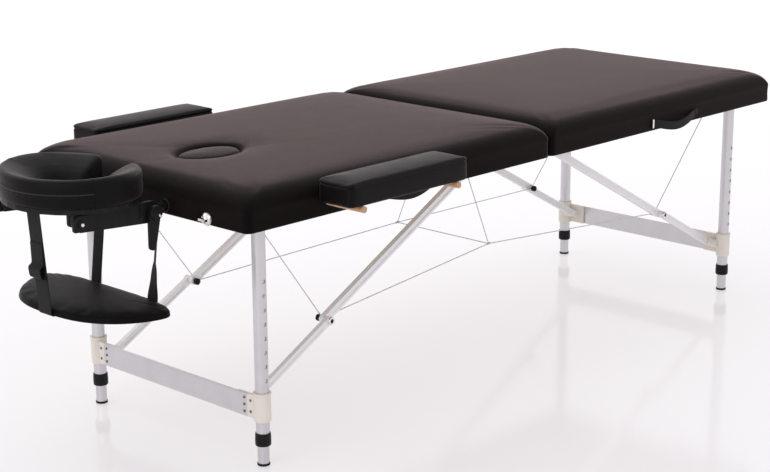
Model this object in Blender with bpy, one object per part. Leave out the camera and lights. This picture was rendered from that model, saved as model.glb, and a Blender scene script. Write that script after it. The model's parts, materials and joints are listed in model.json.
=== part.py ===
"""Folding massage table with face cradle, arm shelf and armrests.

Metres, +Z up, floor at Z = 0. The head end is at -X, the near side at -Y.
All pieces are drawn about the hinge line at X = 0. The root empty then moves
the whole table along X so that its box is centred on the origin.
"""
import math

import bmesh
import bpy
from mathutils import Vector

# General fit
CLEAR = 0.0003
ROUND_SIDES = 16
SMALL_SIDES = 12
SHARP_ANGLE = math.radians(35)

# Table top
HALF_LENGTH = 0.930
TABLE_WIDTH = 0.700
HINGE_GAP = 0.003
UNDERSIDE_Z = 0.522
RAIL_HEIGHT = 0.040
RAIL_WIDTH = 0.020
RAIL_WALL = 0.0025
DECK_THICKNESS = 0.004
FOAM_THICKNESS = 0.038
COVER_WALL = 0.003
EDGE_RADIUS = 0.040
CORNER_RADIUS = 0.014
TOP_CORNER_RADIUS = 0.050
CROWN = 0.004
SIDE_DRAW = 0.0015
HEM_DRAW = 0.0008
HEM_HEIGHT = 0.010
CROWN_FLAT = 0.040
CORNER_STEPS = 4
EDGE_STEPS = 5
CROWN_STEPS = 3

# Face hole and its plug
PLUG_REACH = 0.208
PLUG_HALF_LENGTH = 0.0765
PLUG_HALF_WIDTH = 0.0525
PLUG_ROUND = 0.012
PLUG_CROWN = 0.004
PLUG_SINK = 0.004
PLUG_CROWN_SHARES = (0.5, 0.85)
HOLE_FLARE = 0.022
DECK_LEDGE = 0.008
OVAL_SIDES = 28

# Hinge between the halves
HINGE_DROP = 0.0045
HINGE_LEAF_THICKNESS = 0.0015
HINGE_LEAF_WIDTH = 0.019
HINGE_LENGTH = 0.620
HINGE_PIN_RADIUS = 0.0018
KNUCKLE_COUNT = 9
KNUCKLE_GAP = 0.0004
KNUCKLE_OVERLAP = 0.004

# Legs
LEG_SETBACK = {"head": 0.098, "foot": 0.070}
LEG_INSET = 0.080
LEG_PIVOT_Z = 0.539
LEG_HEAD_RISE = 0.0155
LEG_HEAD_ROUND = 0.007
LEG_HEAD_SOLID = 0.039
LEG_RADIUS = 0.0143
LEG_BORE = 0.0126
COLLAR_RADIUS = 0.0160
COLLAR_BOTTOM_Z = 0.045
COLLAR_TOP_Z = 0.070
COLLAR_CHAMFER = 0.002
INNER_RADIUS = 0.0122
INNER_BORE = 0.0107
INNER_RISE = 0.035
AXLE_RADIUS = 0.005
HOLE_RADIUS = 0.0044
HOLE_PITCH = 0.030
HOLE_COUNT = 8
BUTTON_HOLE = 1
TOP_HOLE_Z = 0.395
TIP_RADIUS = 0.0135
TIP_HEIGHT = 0.005
TIP_PLUG = 0.018
TIP_PLUG_RADIUS = 0.0103

# Snap button on its V spring
BUTTON_RADIUS = 0.0038
BUTTON_PROUD = 0.0020
BUTTON_DOME = 0.0012
BUTTON_TOP_RADIUS = 0.0021
SPRING_WIDTH = 0.006
SPRING_THICKNESS = 0.0008
SPRING_SEAT = 0.0072
SPRING_BACK = 0.0078
SPRING_TAIL = 0.006
SPRING_RISE = 0.010
SPRING_HEIGHT = 0.034

# Moulded bracket and cross beam
BRACKET_BOTTOM_Z = 0.097
BRACKET_TOP_Z = 0.158
BRACKET_RADIUS = 0.0180
BRACKET_BELL = 0.0012
BEAM_BOTTOM_Z = 0.100
BEAM_TOP_Z = 0.150
BEAM_THICKNESS = 0.003
BEAM_OFFSET = 0.0085
BEAM_END_SETBACK = 0.034
BEAM_LIP = 0.0045
TONGUE_LENGTH = 0.030
TONGUE_THICKNESS = 0.005
LUG_RADIUS = 0.0105

# Folding braces
LEG_FOLD_DEG = 88.0
BRACE_SETBACK = 0.165
BRACE_PIVOT_Z = 0.535
BRACE_TUBE_RADIUS = 0.006
LUG_PIVOT_OFFSET = 0.012
LUG_PIVOT_Z = 0.128
BRACE_INSET = 0.0615
UPPER_THICKNESS = 0.0130
UPPER_HALF_WIDTH = 0.0092
LINK_GAP = 0.0010
LOWER_THICKNESS = 0.0110
LOWER_HALF_WIDTH = 0.0085
LOWER_PIN_RADIUS = 0.0040
LUG_GAP = 0.0005
KNEE_CAP_RADIUS = 0.0088
KNEE_CAP_HEIGHT = 0.0035
KNEE_CAP_CHAMFER = 0.0015
GROOVE_DEPTH = 0.0016
GROOVE_HALF_WIDTH = 0.0036
GROOVE_END = 0.026
ARC_STEPS = 6

# Face cradle
PEG_Y = 0.105
PEG_Z = 0.541
PEG_RADIUS = 0.0080
PEG_DEPTH = 0.075
CRADLE_PIVOT_REACH = 0.052
CRADLE_BAR_RADIUS = 0.011
CRADLE_STUB_RADIUS = 0.005
CRADLE_STUB_END = 0.0125
CRADLE_ARM_Y = 0.1205
CRADLE_ARM_THICKNESS = 0.007
CRADLE_ARM_REACH = 0.1735
CRADLE_ARM_RISE = 0.007
CRADLE_ARM_REAR_RADIUS = 0.022
CRADLE_ARM_FRONT_RADIUS = 0.0165
CRADLE_ROD_REACH = 0.090
CRADLE_ROD_RADIUS = 0.006
PLATFORM_RISE = 0.018
PLATFORM_THICKNESS = 0.010
PLATFORM_WIDTH = 0.074
EAR_RADIUS = 0.0115
EAR_THICKNESS = 0.010
EAR_GAP = 0.001
EAR_PIN_RADIUS = 0.004
EAR_PIN_HEAD = 0.008
EAR_PIN_HEAD_HEIGHT = 0.004
CUSHION_FRONT_REACH = 0.288
CUSHION_REAR_REACH = 0.018
CUSHION_HALF_WIDTH = 0.155
CUSHION_LIMB = 0.083
CUSHION_HEIGHT = 0.0605
CUSHION_DIP = 0.004
CUSHION_END_ROUND = 0.014
CUSHION_GAP_ANGLE = math.radians(24)
CUSHION_SECTION = (
    (0.90, 0.0),
    (0.96, 0.08),
    (0.93, 0.24),
    (0.72, 0.46),
    (0.35, 0.66),
    (-0.10, 0.84),
    (-0.50, 0.97),
    (-0.74, 1.0),
    (-0.92, 0.93),
    (-0.99, 0.78),
    (-1.0, 0.58),
    (-0.965, 0.47),
    (-1.0, 0.34),
    (-0.98, 0.12),
    (-0.90, 0.0),
)
CUSHION_END_STEP = 0.25
CUSHION_END_WIDTH = 0.80
CUSHION_END_HEIGHT = 0.86
HORSESHOE_STEPS = 24
LEVER_GAP = 0.001
LEVER_THICKNESS = 0.010
LEVER_HUB_RADIUS = 0.0150
LEVER_END_RADIUS = 0.0075
LEVER_DROP = 0.069
LEVER_LEAN = 0.008

# Arm shelf and its straps
SHELF_TOP_Z = 0.361
SHELF_THICKNESS = 0.018
SHELF_HALF_WIDTH = 0.202
SHELF_BACK_REACH = 0.045
SHELF_CENTRE_REACH = 0.091
SHELF_FRONT_SETBACK = 0.060
SHELF_ROUND = 0.008
SHELF_FRONT_SHAPE = (2.7, 0.6)
SHELF_BACK_SHAPE = (3.3, 0.38)
SHELF_CROWN = 0.002
SHELF_EDGE_SHARE = 0.30
SHELF_CROWN_INSET = 0.036
SHELF_SWING_REACH = 0.136
SHELF_SIDES = 32
STRAP_WIDTH = 0.038
STRAP_THICKNESS = 0.002
STRAP_BACK_Y = 0.090

# Armrests
ARMREST_REACH = 0.3575
ARMREST_LENGTH = 0.350
ARMREST_WIDTH = 0.097
ARMREST_HEIGHT = 0.0445
ARMREST_GAP = 0.0015
ARMREST_CORNER = 0.025
ARMREST_EDGE = 0.014
ARMREST_CROWN = 0.004
BOARD_THICKNESS = 0.004
BOARD_MARGIN = 0.010
DOWEL_RADIUS = 0.007
DOWEL_SPAN = 0.280
DOWEL_Z = 0.549
DOWEL_DEPTH = 0.058
DOWEL_PROUD = 0.002
DOWEL_SINK = 0.0015

# Handles and latches
FOOT_HANDLE_REACH = 0.446
HANDLE_OVERRUN = 0.0405
HANDLE_LENGTH = 0.184
HANDLE_WIDTH = 0.020
HANDLE_THICKNESS = 0.003
HANDLE_DROP = 0.0008
HANDLE_SAG = 0.0085
HANDLE_BOW = 0.013
HANDLE_TAB = 0.009
HANDLE_RAMP = 0.023
HANDLE_STEPS = 24
LATCH_INSET = 0.119
LATCH_Z = 0.534
LATCH_RADIUS = 0.0130
LATCH_HEIGHT = 0.010
LATCH_PROFILE = ((1.0, 0.0), (1.0, 0.24), (0.86, 0.4), (0.62, 0.8), (0.4, 1.0))
LATCH_BAR_SINK = 0.003
LATCH_BAR_LENGTH = 0.020
LATCH_BAR_WIDTH = 0.005
LATCH_BAR_HEIGHT = 0.004

# Cables
CABLE_RADIUS = 0.0012
CABLE_SIDES = 8
CABLE_GAP = 0.0008
CRIMP_RADIUS = 0.004
CRIMP_X = 0.019
CRIMP_Y = 0.150
CRIMP_Z = 0.277
DROP_TOP_Y = 0.045
CABLE_KNEE_STEP = 0.005

ENDS = {"head": -1, "foot": 1}
SIDES = {"near": -1, "far": 1}

# Worked out from the sizes above
RAIL_BOTTOM_Z = UNDERSIDE_Z + CLEAR
RAIL_TOP_Z = RAIL_BOTTOM_Z + RAIL_HEIGHT
DECK_Z = RAIL_TOP_Z + CLEAR
FOAM_Z = DECK_Z + DECK_THICKNESS + CLEAR
TOP_Z = FOAM_Z + FOAM_THICKNESS
EDGE_Z = TOP_Z - CROWN
SHOULDER_Z = EDGE_Z - EDGE_RADIUS
COVER_INSET = COVER_WALL + CLEAR
PLUG_X = -HALF_LENGTH + PLUG_REACH
HALF_WIDTH = TABLE_WIDTH / 2
LEG_Y = HALF_WIDTH - LEG_INSET
LATCH_Y = HALF_WIDTH - LATCH_INSET
HINGE_Z = UNDERSIDE_Z - HINGE_DROP
BRACE_REACH = HALF_LENGTH - BRACE_SETBACK
UPPER_INNER_Y = LEG_Y - BRACE_INSET
UPPER_OUTER_Y = UPPER_INNER_Y + UPPER_THICKNESS
LOWER_INNER_Y = UPPER_OUTER_Y + LINK_GAP
LOWER_OUTER_Y = LOWER_INNER_Y + LOWER_THICKNESS
LUG_INNER_Y = LOWER_OUTER_Y + LUG_GAP
BUTTON_Z = TOP_HOLE_Z - BUTTON_HOLE * HOLE_PITCH
CRADLE_X = -HALF_LENGTH - CRADLE_PIVOT_REACH
CRADLE_FRONT_X = CRADLE_X - CRADLE_ARM_REACH
CRADLE_FRONT_Z = PEG_Z + CRADLE_ARM_RISE
CRADLE_ARM_OUTER_Y = CRADLE_ARM_Y + CRADLE_ARM_THICKNESS
PLATFORM_Z = CRADLE_FRONT_Z + PLATFORM_RISE
CUSHION_Z = PLATFORM_Z + PLATFORM_THICKNESS + CLEAR
CUSHION_FRONT_X = -HALF_LENGTH - CUSHION_FRONT_REACH
CUSHION_REAR_X = -HALF_LENGTH - CUSHION_REAR_REACH
HORSESHOE_HALF_WIDTH = CUSHION_HALF_WIDTH - CUSHION_LIMB / 2
HORSESHOE_HALF_LENGTH = (CUSHION_REAR_X - CUSHION_FRONT_X - CUSHION_LIMB) / 2
HORSESHOE_CENTRE_X = (CUSHION_FRONT_X + CUSHION_REAR_X) / 2
SHELF_SWING_X = -HALF_LENGTH - SHELF_SWING_REACH
SHELF_FRONT_REACH = CUSHION_FRONT_REACH - SHELF_FRONT_SETBACK
SHELF_BOTTOM_Z = SHELF_TOP_Z - SHELF_THICKNESS
ARMREST_CENTRE_X = -HALF_LENGTH + ARMREST_REACH
FOOT_HANDLE_X = HALF_LENGTH - FOOT_HANDLE_REACH
ARMREST_INNER_Y = HALF_WIDTH + ARMREST_GAP
ARMREST_CENTRE_Y = ARMREST_INNER_Y + ARMREST_WIDTH / 2
BOARD_Z = DOWEL_Z + DOWEL_RADIUS - DOWEL_SINK
ARMREST_Z = BOARD_Z + BOARD_THICKNESS + CLEAR
ROOT_SHIFT = -(CUSHION_FRONT_X + HALF_LENGTH) / 2

FINISHES = {
    "leather": ((0.020, 0.019, 0.019), 0.45, 0.0),
    "aluminium": ((0.72, 0.71, 0.73), 0.35, 1.0),
    "plywood": ((0.55, 0.40, 0.24), 0.60, 0.0),
    "bracket": ((0.80, 0.76, 0.69), 0.45, 0.0),
    "black_plastic": ((0.015, 0.015, 0.016), 0.40, 0.0),
    "steel": ((0.60, 0.60, 0.62), 0.30, 1.0),
    "dowel": ((0.60, 0.42, 0.22), 0.50, 0.0),
    "webbing": ((0.012, 0.012, 0.013), 0.70, 0.0),
    "nickel": ((0.75, 0.73, 0.70), 0.20, 1.0),
}

origins = {}


def clear_scene():
    """Remove whatever the open scene holds."""
    for item in list(bpy.data.objects):
        bpy.data.objects.remove(item, do_unlink=True)


def finish(name):
    """Return the Principled material of one finish, made on first use."""
    made = bpy.data.materials.get(name)
    if made:
        return made
    color, roughness, metallic = FINISHES[name]
    made = bpy.data.materials.new(name)
    made.use_nodes = True
    shader = made.node_tree.nodes["Principled BSDF"]
    shader.inputs["Base Color"].default_value = (*color, 1.0)
    shader.inputs["Roughness"].default_value = roughness
    shader.inputs["Metallic"].default_value = metallic
    return made


def empty(name, place, parent=None):
    """Add an empty at a place in the table's own frame."""
    made = bpy.data.objects.new(name, None)
    made.empty_display_size = 0.03
    bpy.context.collection.objects.link(made)
    origins[name] = Vector(place)
    made.location = Vector(place)
    if parent:
        made.parent = bpy.data.objects[parent]
        made.location = Vector(place) - origins[parent]
    return name


def add(name, shape, look, parent, pivot=None):
    """Turn a shape into a named object whose origin lies on its pivot."""
    pivot = origins[parent] if pivot is None else Vector(pivot)
    made = mesh_object(name, shape, pivot)
    made.data.materials.append(finish(look))
    made.parent = bpy.data.objects[parent]
    made.location = pivot - origins[parent]
    return made


def mesh_object(name, shape, pivot):
    """Write a shape to a mesh object, with its points counted from the pivot."""
    bmesh.ops.translate(shape, verts=shape.verts, vec=-pivot)
    mesh = bpy.data.meshes.new(name)
    shape.to_mesh(mesh)
    shape.free()
    mesh.shade_smooth()
    mesh.set_sharp_from_angle(angle=SHARP_ANGLE)
    made = bpy.data.objects.new(name, mesh)
    bpy.context.collection.objects.link(made)
    return made


def combine(target, shape, operation):
    """Cut a shape from an object or join it on with a Boolean."""
    pivot = origins[target.parent.name] + target.location
    tool = mesh_object(f"{target.name}_{operation.lower()}", shape, pivot)
    tool.parent = target.parent
    tool.location = target.location
    tool.hide_render = True
    tool.display_type = "WIRE"
    change = target.modifiers.new(tool.name, "BOOLEAN")
    change.operation = operation
    change.solver = "EXACT"
    change.object = tool


def cut(target, shape):
    """Take a shape away from an object."""
    combine(target, shape, "DIFFERENCE")


def join(target, shape):
    """Fuse a shape to an object."""
    combine(target, shape, "UNION")


def loft(rings, closed=False):
    """Skin equal rings of points. An open skin gets a cap at each end."""
    shape = bmesh.new()
    loops = [[shape.verts.new(point) for point in ring] for ring in rings]
    pairs = list(zip(loops, loops[1:]))
    if closed:
        pairs.append((loops[-1], loops[0]))
    for first, second in pairs:
        count = len(first)
        for index in range(count):
            after = (index + 1) % count
            shape.faces.new((first[index], first[after], second[after], second[index]))
    if not closed:
        shape.faces.new(loops[0])
        shape.faces.new(loops[-1])
    bmesh.ops.recalc_face_normals(shape, faces=shape.faces)
    return shape


def gather(*shapes):
    """Put several shapes into one, still as separate bodies."""
    mesh = bpy.data.meshes.new("gathered")
    whole = bmesh.new()
    for shape in shapes:
        shape.to_mesh(mesh)
        shape.free()
        whole.from_mesh(mesh)
    bpy.data.meshes.remove(mesh)
    return whole


def circle(radius, sides, turn=0.0):
    """Points of a circle."""
    angles = [turn + 2 * math.pi * index / sides for index in range(sides)]
    return [(radius * math.cos(angle), radius * math.sin(angle)) for angle in angles]


def along(axis, u, v, w):
    """Place a section point (u, v) at height w along a named axis."""
    return {"X": (w, u, v), "Y": (u, w, v), "Z": (u, v, w)}[axis]


def turned(profile, axis, centre, sides=ROUND_SIDES, hollow=False):
    """Turn a profile of (radius, height) about an axis through a centre."""
    rings = []
    for radius, height in profile:
        ring = [along(axis, u, v, height) for u, v in circle(radius, sides)]
        rings.append([tuple(Vector(point) + Vector(centre)) for point in ring])
    return loft(rings, closed=hollow)


def rod(axis, centre, radius, start, end, sides=SMALL_SIDES):
    """Plain round bar along an axis, from start to end."""
    return turned([(radius, start), (radius, end)], axis, centre, sides)


def slab(low, high):
    """Box between two corners."""
    corners = [(low[0], low[1]), (high[0], low[1]), (high[0], high[1]), (low[0], high[1])]
    return loft([[(x, y, z) for x, y in corners] for z in (low[2], high[2])])


def plate(outline, start, end):
    """Outline of (x, z) points carried along Y."""
    return loft([[(x, y, z) for x, z in outline] for y in (start, end)])


def link_outline(first, first_radius, second, second_radius):
    """Outline of a bar with a round end about each of two (x, z) points."""
    dx = second[0] - first[0]
    dz = second[1] - first[1]
    heading = math.atan2(dz, dx)
    lean = math.acos((first_radius - second_radius) / math.hypot(dx, dz))
    outline = []
    for centre, radius, start, sweep in (
        (first, first_radius, heading + lean, 2 * (math.pi - lean)),
        (second, second_radius, heading - lean, 2 * lean),
    ):
        for step in range(ARC_STEPS + 1):
            angle = start + sweep * step / ARC_STEPS
            outline.append((centre[0] + radius * math.cos(angle), centre[1] + radius * math.sin(angle)))
    return outline


def rounded_rectangle(centre, half, radius):
    """Points of a rectangle with round corners."""
    points = []
    for quarter in range(4):
        side_x = 1 if quarter in (0, 3) else -1
        side_y = 1 if quarter in (0, 1) else -1
        for step in range(CORNER_STEPS + 1):
            angle = math.pi / 2 * (quarter + step / CORNER_STEPS)
            x = side_x * (half[0] - radius) + radius * math.cos(angle)
            y = side_y * (half[1] - radius) + radius * math.sin(angle)
            points.append((centre[0] + x, centre[1] + y))
    return points


def rounded_ring(centre, half, inset, radius, z):
    """Rounded rectangle at height z, drawn in by an inset."""
    drawn = (half[0] - inset, half[1] - inset)
    return [(x, y, z) for x, y in rounded_rectangle(centre, drawn, radius)]


def oval_ring(centre_x, half_length, half_width, z):
    """Oval about the table's centre line at height z."""
    points = circle(1.0, OVAL_SIDES)
    return [(centre_x + half_length * u, half_width * v, z) for u, v in points]


def half_plan(end, inset):
    """Centre and half sizes of one half of the top, drawn in by an inset."""
    inner = HINGE_GAP / 2 + inset
    outer = HALF_LENGTH - inset
    centre = (ENDS[end] * (inner + outer) / 2, 0.0)
    return centre, ((outer - inner) / 2, HALF_WIDTH - inset)


def leg_x(end):
    """X of a pair of legs."""
    return ENDS[end] * (HALF_LENGTH - LEG_SETBACK[end])


def linkage(end):
    """Pivots of a brace pair at rest, as (x, z), and the lengths of its two links.

    The links lie in one line both when the leg stands and when it is folded, so
    their lengths are half the sum and half the difference of the two spans.
    """
    centre_u = BRACE_REACH
    centre_z = BRACE_PIVOT_Z - LEG_PIVOT_Z
    lug_u = LUG_PIVOT_OFFSET
    lug_z = LUG_PIVOT_Z - LEG_PIVOT_Z
    fold = math.radians(LEG_FOLD_DEG)
    folded_u = lug_u * math.cos(fold) - lug_z * math.sin(fold)
    folded_z = lug_u * math.sin(fold) + lug_z * math.cos(fold)
    standing = math.hypot(centre_u - lug_u, centre_z - lug_z)
    folded = math.hypot(centre_u - folded_u, centre_z - folded_z)
    upper = (standing + folded) / 2
    lower = (standing - folded) / 2
    share = lower / standing
    knee_u = lug_u + share * (centre_u - lug_u)
    knee_z = lug_z + share * (centre_z - lug_z)
    inward = -ENDS[end]

    def place(u, z):
        return (leg_x(end) + inward * u, LEG_PIVOT_Z + z)

    rest_angle = math.atan2(centre_z - lug_z, centre_u - lug_u)
    folded_angle = math.atan2(centre_z - folded_z, centre_u - folded_u)
    upper_turn = math.degrees(rest_angle - folded_angle)
    return {
        "brace": place(centre_u, centre_z),
        "lug": place(lug_u, lug_z),
        "knee": place(knee_u, knee_z),
        "upper_turn": upper_turn,
        "lower_turn": 180.0 - upper_turn - LEG_FOLD_DEG,
    }


def peg_tools(margin):
    """Rods at the cradle pegs, wider than them by a margin."""
    start = -HALF_LENGTH - COVER_WALL
    end = -HALF_LENGTH + PEG_DEPTH
    return [
        rod("X", (0, side * PEG_Y, PEG_Z), PEG_RADIUS + margin, start, end)
        for side in SIDES.values()
    ]


def dowel_places():
    """X of the two dowels of an armrest."""
    return [ARMREST_CENTRE_X + step * DOWEL_SPAN / 2 for step in (-1, 1)]


def dowel_tools(margin):
    """Rods through the side rails where the armrest dowels go in."""
    start = HALF_WIDTH - RAIL_WIDTH - COVER_WALL
    end = HALF_WIDTH + COVER_WALL
    return [
        rod("Y", (x, 0, DOWEL_Z), DOWEL_RADIUS + margin, side * start, side * end)
        for x in dowel_places()
        for side in SIDES.values()
    ]


def build_frame(end, parent):
    """Ring of open channel rails with the leg axle and the brace tube across it."""
    centre, half = half_plan(end, COVER_INSET)
    corner = CORNER_RADIUS - COVER_INSET
    low, high = RAIL_BOTTOM_Z, RAIL_TOP_Z
    channel = [
        (0.0, low),
        (0.0, high),
        (RAIL_WIDTH, high),
        (RAIL_WIDTH, high - RAIL_WALL),
        (RAIL_WALL, high - RAIL_WALL),
        (RAIL_WALL, low + RAIL_WALL),
        (RAIL_WIDTH, low + RAIL_WALL),
        (RAIL_WIDTH, low),
    ]
    rings = [
        rounded_ring(centre, half, inset, max(corner - inset, RAIL_WALL / 5), z)
        for inset, z in channel
    ]
    frame = add(f"{end}_frame", loft(rings, closed=True), "aluminium", parent)
    reach = half[1] - RAIL_WALL / 2
    brace_x, brace_z = linkage(end)["brace"]
    axle = rod("Y", (leg_x(end), 0, LEG_PIVOT_Z), AXLE_RADIUS, -reach, reach)
    tube = rod("Y", (brace_x, 0, brace_z), BRACE_TUBE_RADIUS, -reach, reach)
    join(frame, gather(axle, tube))
    if end == "head":
        cut(frame, gather(*peg_tools(CLEAR), *dowel_tools(CLEAR)))


def build_deck(end, parent):
    """Plywood panel on the rails, with the face hole in the head half."""
    centre, half = half_plan(end, COVER_INSET)
    corner = CORNER_RADIUS - COVER_INSET
    rings = [rounded_ring(centre, half, 0.0, corner, z) for z in (DECK_Z, DECK_Z + DECK_THICKNESS)]
    deck = add(f"{end}_deck", loft(rings), "plywood", parent)
    if end == "head":
        long_half = PLUG_HALF_LENGTH - DECK_LEDGE
        wide_half = PLUG_HALF_WIDTH - DECK_LEDGE
        levels = (DECK_Z - DECK_THICKNESS, DECK_Z + 2 * DECK_THICKNESS)
        cut(deck, loft([oval_ring(PLUG_X, long_half, wide_half, z) for z in levels]))


def face_hole():
    """Oval hole through the foam with a flared mouth."""
    long_half = PLUG_HALF_LENGTH + CLEAR
    wide_half = PLUG_HALF_WIDTH + CLEAR
    rings = [oval_ring(PLUG_X, long_half, wide_half, FOAM_Z - COVER_WALL)]
    steps = CORNER_STEPS
    for step in range(steps + 1):
        angle = math.pi / 2 * step / steps
        flare = HOLE_FLARE * (1 - math.cos(angle))
        z = TOP_Z - HOLE_FLARE + HOLE_FLARE * math.sin(angle)
        rings.append(oval_ring(PLUG_X, long_half + flare, wide_half + flare, z))
    rings.append(oval_ring(PLUG_X, long_half + HOLE_FLARE, wide_half + HOLE_FLARE, TOP_Z + HOLE_FLARE))
    return loft(rings)


def build_pad(end, parent):
    """Padded cover: crowned foam top with rounded edges and a skirt round the frame."""
    centre, half = half_plan(end, 0.0)
    inner_corner = CORNER_RADIUS - COVER_WALL

    def ring(inset, z, corner=CORNER_RADIUS):
        return rounded_ring(centre, half, inset, corner, z)

    rings = [ring(COVER_WALL, FOAM_Z, inner_corner), ring(COVER_WALL, UNDERSIDE_Z, inner_corner)]
    rings.append(ring(HEM_DRAW, UNDERSIDE_Z))
    rings.append(ring(0.0, UNDERSIDE_Z + HEM_HEIGHT))
    rings.append(ring(SIDE_DRAW, (UNDERSIDE_Z + HEM_HEIGHT + SHOULDER_Z) / 2))
    for step in range(EDGE_STEPS + 1):
        share = step / EDGE_STEPS
        angle = math.pi / 2 * share
        inset = EDGE_RADIUS * (1 - math.cos(angle))
        z = SHOULDER_Z + EDGE_RADIUS * math.sin(angle)
        rings.append(ring(inset, z, CORNER_RADIUS + share * (TOP_CORNER_RADIUS - CORNER_RADIUS)))
    for step in range(1, CROWN_STEPS + 1):
        share = step / CROWN_STEPS
        inset = EDGE_RADIUS + share * (min(half) - EDGE_RADIUS - CROWN_FLAT)
        corner = min(TOP_CORNER_RADIUS, min(half) - inset)
        rings.append(ring(inset, EDGE_Z + CROWN * (1 - (1 - share) ** 2), corner))
    pad = add(f"{end}_pad", loft(rings), "leather", parent)
    if end == "head":
        cut(pad, face_hole())
        cut(pad, gather(*peg_tools(CLEAR), *dowel_tools(CLEAR)))


def build_plug(parent):
    """Oval foam plug that stands on the edge of the deck's hole."""
    pivot = (PLUG_X, 0, FOAM_Z)
    bottom = DECK_Z + DECK_THICKNESS + CLEAR
    rings = [oval_ring(PLUG_X, PLUG_HALF_LENGTH, PLUG_HALF_WIDTH, bottom)]
    top = TOP_Z - PLUG_SINK
    steps = CORNER_STEPS
    for step in range(steps + 1):
        angle = math.pi / 2 * step / steps
        inset = PLUG_ROUND * (1 - math.cos(angle))
        z = top - PLUG_ROUND + PLUG_ROUND * math.sin(angle)
        rings.append(oval_ring(PLUG_X, PLUG_HALF_LENGTH - inset, PLUG_HALF_WIDTH - inset, z))
    for share in PLUG_CROWN_SHARES:
        inset = PLUG_ROUND + share * (PLUG_HALF_WIDTH - PLUG_ROUND)
        z = top + PLUG_CROWN * (1 - (1 - share) ** 2)
        rings.append(oval_ring(PLUG_X, PLUG_HALF_LENGTH - inset, PLUG_HALF_WIDTH - inset, z))
    add("face_plug", loft(rings), "leather", parent, pivot)


def knuckle_outline(outward):
    """Hinge knuckle about the pin with the tab that runs into its leaf, as (x, z)."""
    top = UNDERSIDE_Z - CLEAR
    bottom = top - HINGE_LEAF_THICKNESS
    radius = top - HINGE_Z
    tab = outward * (radius + KNUCKLE_OVERLAP)
    start = math.pi / 2
    sweep = 2 * math.pi - start + math.asin((bottom - HINGE_Z) / radius)
    outline = [(tab, top)]
    for step in range(SMALL_SIDES + 1):
        angle = start + sweep * step / SMALL_SIDES
        outline.append((outward * radius * math.cos(angle), HINGE_Z + radius * math.sin(angle)))
    outline.append((tab, bottom))
    return outline


def build_hinge_leaf(end, parent):
    """Half of the long hinge. The head leaf carries the pin, the foot leaf turns on it."""
    outward = ENDS[end]
    top = UNDERSIDE_Z - CLEAR
    knuckle_radius = top - HINGE_Z
    near_edge = knuckle_radius + 2 * CLEAR
    edges = sorted((outward * near_edge, outward * (near_edge + HINGE_LEAF_WIDTH)))
    low = (edges[0], -HINGE_LENGTH / 2, top - HINGE_LEAF_THICKNESS)
    leaf = add(f"{end}_hinge_leaf", slab(low, (edges[1], HINGE_LENGTH / 2, top)), "steel", parent)
    pitch = HINGE_LENGTH / KNUCKLE_COUNT
    first = 0 if end == "head" else 1
    knuckles = []
    for index in range(first, KNUCKLE_COUNT, 2):
        start = -HINGE_LENGTH / 2 + index * pitch + KNUCKLE_GAP / 2
        knuckles.append(plate(knuckle_outline(outward), start, start + pitch - KNUCKLE_GAP))
    join(leaf, gather(*knuckles))
    reach = HINGE_LENGTH / 2 - KNUCKLE_GAP
    if end == "head":
        join(leaf, rod("Y", (0, 0, HINGE_Z), HINGE_PIN_RADIUS, -reach, reach))
    else:
        bore = HINGE_PIN_RADIUS + CLEAR
        cut(leaf, rod("Y", (0, 0, HINGE_Z), bore, -HINGE_LENGTH, HINGE_LENGTH))


def handle_centre(end):
    """X of a handle's middle. The head handle passes under the rear dowel of the armrest."""
    if end == "foot":
        return FOOT_HANDLE_X
    return max(dowel_places()) + HANDLE_OVERRUN - HANDLE_LENGTH / 2


def build_handle(end, parent):
    """Webbing handle on the near side, flat at its ends and bowed out and down between them."""
    rings = []
    middle_z = DOWEL_Z - DOWEL_RADIUS - HANDLE_DROP - HANDLE_WIDTH / 2
    for step in range(HANDLE_STEPS + 1):
        way = (step / HANDLE_STEPS - 0.5) * HANDLE_LENGTH
        ramp = (HANDLE_LENGTH / 2 - abs(way) - HANDLE_TAB) / HANDLE_RAMP
        ramp = min(max(ramp, 0.0), 1.0)
        swell = ramp * ramp * (3 - 2 * ramp)
        x = handle_centre(end) + way
        inner = -HALF_WIDTH - CLEAR - HANDLE_BOW * swell
        outer = inner - HANDLE_THICKNESS
        z = middle_z + HANDLE_SAG * (1 - swell)
        low, high = z - HANDLE_WIDTH / 2, z + HANDLE_WIDTH / 2
        rings.append([(x, inner, low), (x, inner, high), (x, outer, high), (x, outer, low)])
    add(f"{end}_handle", loft(rings), "webbing", parent)


def build_latch(side, parent):
    """Round turn latch on the head end, with a thumb bar across it."""
    y = SIDES[side] * LATCH_Y
    face = -HALF_LENGTH - CLEAR
    profile = [(LATCH_RADIUS * wide, face - LATCH_HEIGHT * out) for wide, out in LATCH_PROFILE]
    centre = (0, y, LATCH_Z)
    crown = face - LATCH_HEIGHT
    half = (LATCH_BAR_LENGTH / 2, LATCH_BAR_WIDTH / 2)
    latch = add(f"{side}_latch", turned(profile, "X", centre), "nickel", parent, (face, y, LATCH_Z))
    low = (crown - LATCH_BAR_HEIGHT, y - half[0], LATCH_Z - half[1])
    high = (crown + LATCH_BAR_SINK, y + half[0], LATCH_Z + half[1])
    join(latch, slab(low, high))


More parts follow.
